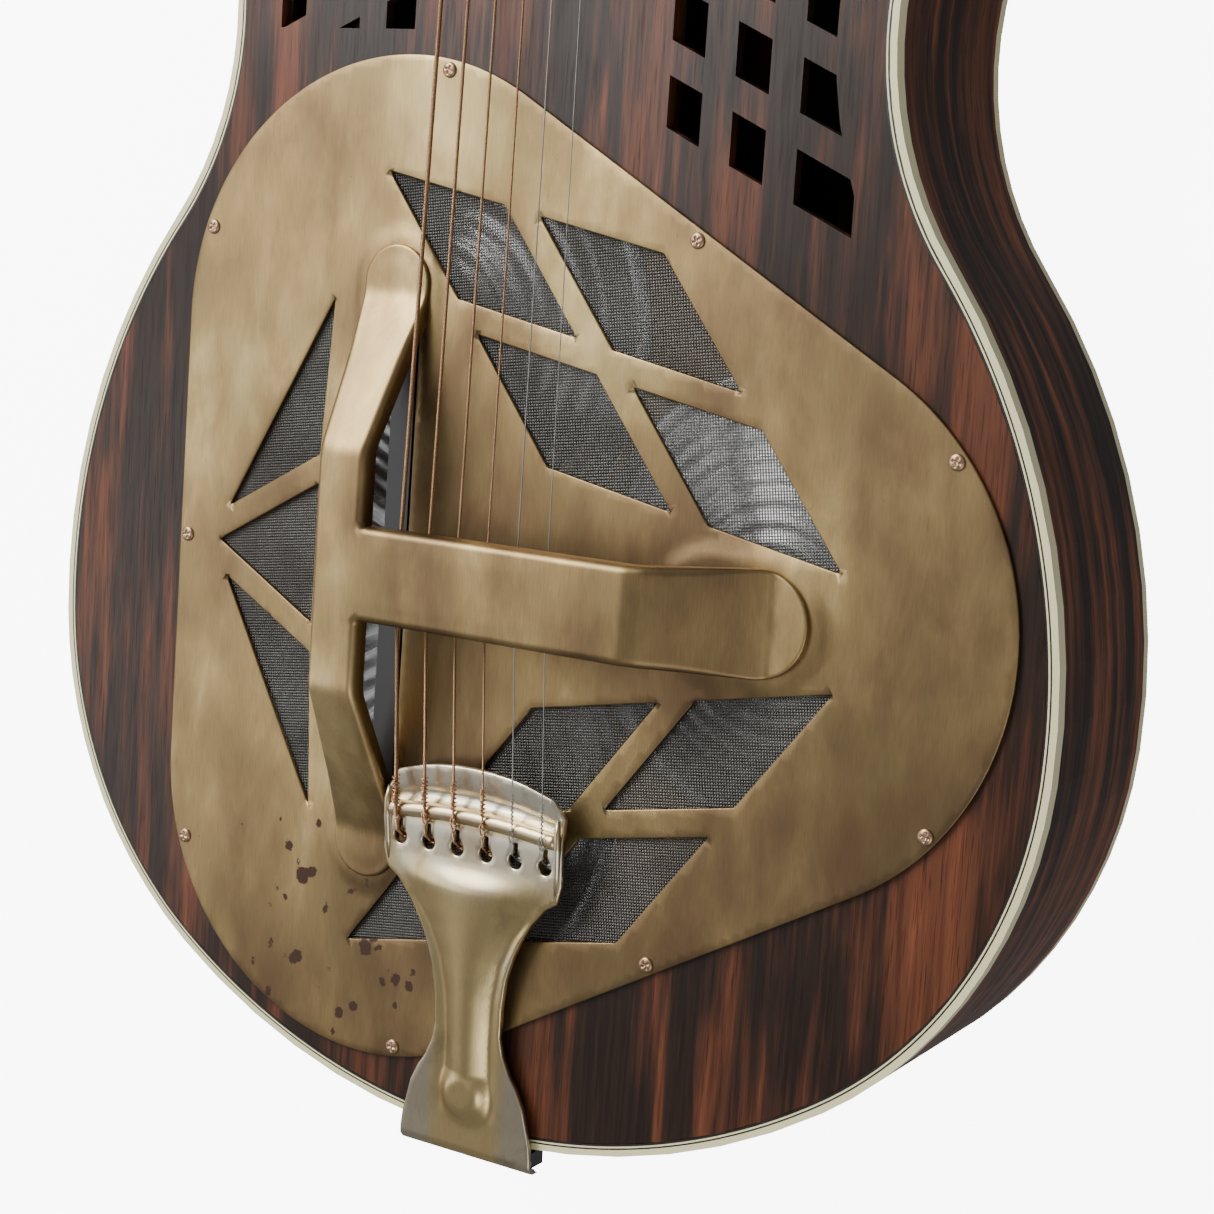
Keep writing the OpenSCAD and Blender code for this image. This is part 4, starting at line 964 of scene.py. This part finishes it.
class GUITAR_OT_strings(bpy.types.Operator):
    """Strings the guitar: four wound and two plain, looped and twisted at the tailpiece"""
    bl_idname = "guitar.strings"
    bl_label = "Strings"

    def execute(self, context):
        groups = {"wound_strings": [], "plain_strings": []}
        for k in range(6):
            tail = tail_run(k)
            x, y0, z0 = hole_x(k), tail[-1][1] + 1.5, tail[-1][2] + 0.1
            run = [(x, y0 - y0 * t, z0 + (SADDLE_Z - z0) * t) for t in np.linspace(0, 1, 14)]
            nut_x = (k - 2.5) * NUT_PITCH
            long_run = [(x + (nut_x - x) * t, SCALE * t, SADDLE_Z + (NUT_Z - SADDLE_Z) * t)
                        for t in np.linspace(0.02, 1, 40)]
            whole = tube(tail + run + long_run + [post_end(k)], STRING_R[k], 10 if k < 4 else 8)
            groups["wound_strings" if k < 4 else "plain_strings"] += [whole, *tail_end(k, y0, z0)]
        steel = plated("Plain steel", (0.42, 0.41, 0.39), 0.28, (0.25, 0.24, 0.22), amount=0.35)
        for node, slot, finish in (("wound_strings", "bronze_wire", wound_wire("Bronze wrap")),
                                   ("plain_strings", "plain_steel", steel)):
            piece = finished(node + "_drawn", *joined(*groups[node]), finish)
            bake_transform(piece)
            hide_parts(node)
        return {"FINISHED"}


# ---------------------------------------------------------------- woods and trim
def body_outline(inset):
    """The body's outline, of arcs that run into each other, moved inwards."""
    tail_r, end, tail_y = 221.0, 34.5, -183.0
    half, waist_half, waist_y, shoulder_half, crown_y = 187.5, 121.5, 176.0, 130.0, 317.5
    waist_r, shoulder_r, flank_r = 111.0, 72.0, 217.0
    lean = radians(end)
    bout_r = (half - tail_r * sin(lean)) / (1 - sin(lean))
    tail = (0.0, tail_y + tail_r)
    bout = (tail[0] + (tail_r - bout_r) * sin(lean), tail[1] - (tail_r - bout_r) * cos(lean))
    waist = (waist_half + waist_r, waist_y)
    to_bout, to_waist = flank_r - bout_r, flank_r + waist_r
    dx, dy = waist[0] - bout[0], waist[1] - bout[1]
    gap = hypot(dx, dy)
    along = (to_bout ** 2 - to_waist ** 2 + gap ** 2) / (2 * gap)
    across = sqrt(to_bout ** 2 - along ** 2)
    flank = (bout[0] + (along * dx - across * dy) / gap, bout[1] + (along * dy + across * dx) / gap)
    x = shoulder_half - shoulder_r
    shoulder = (x, waist[1] + sqrt((waist_r + shoulder_r) ** 2 - (waist[0] - x) ** 2))
    k = shoulder[1] - crown_y
    crown_r = (shoulder_r ** 2 - shoulder[0] ** 2 - k * k) / (2 * (k + shoulder_r))
    crown = (0.0, crown_y - crown_r)

    def bearing(a, b):
        return degrees(atan2(b[1] - a[1], b[0] - a[0]))

    f0, f1 = bearing(flank, bout), bearing(flank, waist)
    w1, c0 = bearing(waist, shoulder), bearing(crown, shoulder)
    w1 = w1 if w1 > 0 else w1 + 360
    line = (arc(tail, tail_r - inset, -90, end - 90, 1) + arc(bout, bout_r - inset, end - 90, f0, 2)
            + arc(flank, flank_r - inset, f0, f1, 1) + arc(waist, waist_r + inset, f1 + 180, w1, 2)
            + arc(shoulder, shoulder_r - inset, w1 - 180, c0, 2) + arc(crown, crown_r - inset, c0, 90, 1))
    line = [p for i, p in enumerate(line) if i == 0 or dist(p, line[i - 1]) > 1e-3]
    return line + [(-px, py) for px, py in reversed(line[1:-1])]


def outline_ring(near, far, low, high):
    """Closed strip between two insets of the body's outline."""
    out, into = body_outline(near), body_outline(far)
    n = len(out)
    verts = [(x, y, z) for loop, z in ((out, high), (into, high), (into, low), (out, low)) for x, y in loop]
    faces = []
    for k in range(n):
        j = (k + 1) % n
        faces += [(a * n + k, a * n + j, b * n + j, b * n + k) for a, b in ((0, 1), (1, 2), (2, 3), (3, 0))]
    return verts, faces


# Insets and depth of the purfling's lines
BLACK_LINES = ((2.22, 2.75), (3.3, 3.98))
WHITE_LINES = ((2.75, 3.3),)
PURFLING_DEPTH = 0.95


class GUITAR_OT_body(bpy.types.Operator):
    """Finishes the box: striped top, sides and back, binding, purfling and the parts inside"""
    bl_idname = "guitar.body"
    bl_label = "Body"

    def execute(self, context):
        dress(striped_wood("Top wood"), "top_panel")
        dress(striped_wood("Back wood"), "back_panel")
        # The sides use a copy with red stripes 1.7 times brighter: painted light on the sides.
        dress(striped_wood("Side wood painted lighter", upright=True, light=1.7), "side_bass", "side_treble")
        ivory = tuple(colours().binding)
        dress(dyed_and_painted_shade("Binding ivory", ivory, 0.35, 0.10, 0.2), "top_binding", "back_binding")
        black = dyed_and_painted_shade("Purfling black", (0.016, 0.013, 0.011), 0.4, 0.3)
        white = dyed_and_painted_shade("Purfling white", ivory, 0.4, 0.1)
        for name, finish, lines in (("purfling_black", black, BLACK_LINES),
                                    ("purfling_white", white, WHITE_LINES)):
            rings = [outline_ring(a, b, TOP_Z - PURFLING_DEPTH, TOP_Z) for a, b in lines]
            put(finished(name, *joined(*rings), finish, smooth=False), "purfling", "top_purfling")
        inner = plain_wood("Inner wood", (0.52, 0.34, 0.18), (0.33, 0.2, 0.1))
        dress(inner, "top_lining", "back_lining", "back_braces", "neck_block", "tail_block", "neck_stick",
              "soundwell", "well_posts")
        return {"FINISHED"}


class GUITAR_OT_neck(bpy.types.Operator):
    """Finishes the neck: wood, fingerboard, frets, markers, nut and headstock"""
    bl_idname = "guitar.neck"
    bl_label = "Neck"

    def execute(self, context):
        dress(plain_wood("Neck wood", (0.16, 0.06, 0.03), (0.06, 0.022, 0.012), 0.42), "neck")
        dress(plain_wood("Board wood", (0.055, 0.028, 0.018), (0.018, 0.010, 0.008), 0.5), "fingerboard")
        dress(striped_wood("Headstock wood"), "headstock_overlay")
        dress(plated("Fret nickel", (0.72, 0.71, 0.68), 0.22, (0.5, 0.48, 0.44), amount=0.2), "frets")
        pearl = Finish("Pearl", Coat_Roughness=0.1, Coat_Weight=0.5)
        cloud = pearl.noise((0.5, 0.3, 0.5), 4, 0.6, 1.5)
        pearl.feed(Base_Color=pearl.ramp(cloud, (0.3, (0.72, 0.76, 0.74)), (0.5, (0.86, 0.84, 0.8)),
                                         (0.68, (0.74, 0.7, 0.78))), Roughness=0.25 + cloud * 0.1)
        dress(pearl.material, "fret_markers")
        dress(dyed_and_painted_shade("Bone", (0.82, 0.76, 0.60), 0.38, 0.12, 0.2), "nut", "saddle")
        return {"FINISHED"}


class GUITAR_OT_hardware(bpy.types.Operator):
    """Finishes the bridge, the hinge, the tuners and the small hardware"""
    bl_idname = "guitar.hardware"
    bl_label = "Hardware"

    def execute(self, context):
        # The bridge is cast aluminium; its near-black colour is painted shade for the shadowed slot under the
        # handrest.
        dress(dyed_and_painted_shade("Bridge painted shade", (0.012, 0.011, 0.011), 0.4, 0.4, 0.1), "t_bridge")
        dress(dyed_and_painted_shade("Bracket black", (0.02, 0.02, 0.021), 0.38, 0.3, 0.2), "tailpiece_bracket",
              "truss_rod_cover")
        steel = plated("Steel", (0.55, 0.55, 0.55), 0.3, (0.3, 0.28, 0.26))
        dress(steel, "tailpiece_hinge_pin", "truss_rod", "tailpiece_screws", "truss_cover_screws")
        nickel = plated("Aged nickel", (0.66, 0.61, 0.5), 0.26, (0.4, 0.33, 0.22))
        buttons = [f"tuner_button_{k}" for k in range(1, 7)]
        posts = [f"tuner_post_{k}" for k in range(1, 7)]
        dress(nickel, "tuner_bushings", "tuner_plates", "tuner_screws", "strap_button", *buttons, *posts)
        dress(plated("Nut brass", (0.62, 0.46, 0.22), 0.3), "truss_rod_nut")
        return {"FINISHED"}


# ---------------------------------------------------------------- stage
# Each light's name, place, aim, width, height and power, in metres and watts
LIGHTS = (("key", (-0.75, 0.95, 0.95), (-0.02, 0.05, 0.07), 0.8, 0.8, 25),
          ("side", (-1.15, -0.25, 0.95), (0, 0, 0.05), 0.6, 1.2, 4),
          ("top", (-0.85, 0.55, 1.35), (0, 0.05, 0.07), 0.7, 0.7, 8),
          ("fill", (0.9, -0.9, 1.3), (0, 0, 0.05), 0.8, 0.8, 6))

# The camera: place in metres, its right and forward, lens in millimetres, and shift
EYE = (0.409952, 0.106486, 0.694817)
EYE_RIGHT = (0.85617, 0.06883, -0.51209)
EYE_FORWARD = (-0.50313, -0.11452, -0.85659)
LENS = 69.726
LENS_SHIFT = (-0.02304, -0.06702)


def soft_light(name, place, aim, wide, tall, power):
    lamp = bpy.data.lights.new(name, "AREA")
    lamp.shape, lamp.size, lamp.size_y, lamp.energy = "RECTANGLE", wide, tall, power
    made = bpy.data.objects.new(name, lamp)
    made.location = place
    made.rotation_euler = (Vector(aim) - Vector(place)).to_track_quat("-Z", "Y").to_euler()
    bpy.context.collection.objects.link(made)


class GUITAR_OT_stage(bpy.types.Operator):
    """Sets the pale floor, the soft lights and the camera"""
    bl_idname = "guitar.stage"
    bl_label = "Stage"

    def execute(self, context):
        tone = tuple(colours().floor)
        f = Finish("Floor paper", roughness=0.8, Emission_Strength=8.0)
        cloud = f.noise(0.002, 2, 0.5)
        f.feed(Base_Color=f.mix(cloud * 0.05, tone, scaled(tone, 0.97)), Emission_Color=(1.0, 1.0, 1.0))
        corners = [(FLOOR_HALF * a, FLOOR_HALF * b, FLOOR_Z) for a, b in ((-1, -1), (1, -1), (1, 1), (-1, 1))]
        floor = finished("floor", corners, [(0, 1, 2, 3)], f.material, smooth=False)
        floor.visible_diffuse = floor.visible_glossy = False
        world = bpy.data.worlds.new("Studio")
        world.use_nodes = True
        sky = world.node_tree.nodes["Background"].inputs
        sky["Color"].default_value, sky["Strength"].default_value = (1, 1, 1, 1), 0.26
        context.scene.world = world
        for light in LIGHTS:
            soft_light(*light)
        right, forward = Vector(EYE_RIGHT).normalized(), Vector(EYE_FORWARD).normalized()
        up = right.cross(forward)
        camera = bpy.data.cameras.new("camera")
        camera.lens, camera.sensor_width = LENS, 36
        camera.shift_x, camera.shift_y = LENS_SHIFT
        camera.clip_start, camera.clip_end = 0.05, 50
        eye = bpy.data.objects.new("camera", camera)
        eye.matrix_world = Matrix.LocRotScale(Vector(EYE), Matrix((right, up, -forward)).transposed(), None)
        context.collection.objects.link(eye)
        context.scene.camera = eye
        return {"FINISHED"}


STEPS = ("body", "neck", "hardware", "coverplate", "handrest", "tailpiece", "cones", "screws", "strings",
         "stage")


class GUITAR_PT_finish(bpy.types.Panel):
    bl_label = "Resonator guitar"
    bl_idname = "GUITAR_PT_finish"
    bl_space_type = "VIEW_3D"
    bl_region_type = "UI"
    bl_category = "Guitar"

    def draw(self, context):
        column = self.layout.column()
        for group in (context.scene.guitar_sizes, context.scene.guitar_colours):
            for name in group.__annotations__:
                column.prop(group, name)
        for step in STEPS:
            column.operator("guitar." + step)


CLASSES = (GuitarSizes, GuitarColours, GUITAR_OT_coverplate, GUITAR_OT_handrest, GUITAR_OT_tailpiece,
           GUITAR_OT_cones, GUITAR_OT_screws, GUITAR_OT_strings, GUITAR_OT_body, GUITAR_OT_neck,
           GUITAR_OT_hardware, GUITAR_OT_stage, GUITAR_PT_finish)


def register():
    for cls in CLASSES:
        bpy.utils.register_class(cls)
    bpy.types.Scene.guitar_sizes = PointerProperty(type=GuitarSizes)
    bpy.types.Scene.guitar_colours = PointerProperty(type=GuitarColours)


def unregister():
    del bpy.types.Scene.guitar_sizes
    del bpy.types.Scene.guitar_colours
    for cls in reversed(CLASSES):
        bpy.utils.unregister_class(cls)


def main():
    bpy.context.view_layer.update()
    register()
    for step in STEPS:
        getattr(bpy.ops.guitar, step)()


if __name__ == "__main__":
    main()
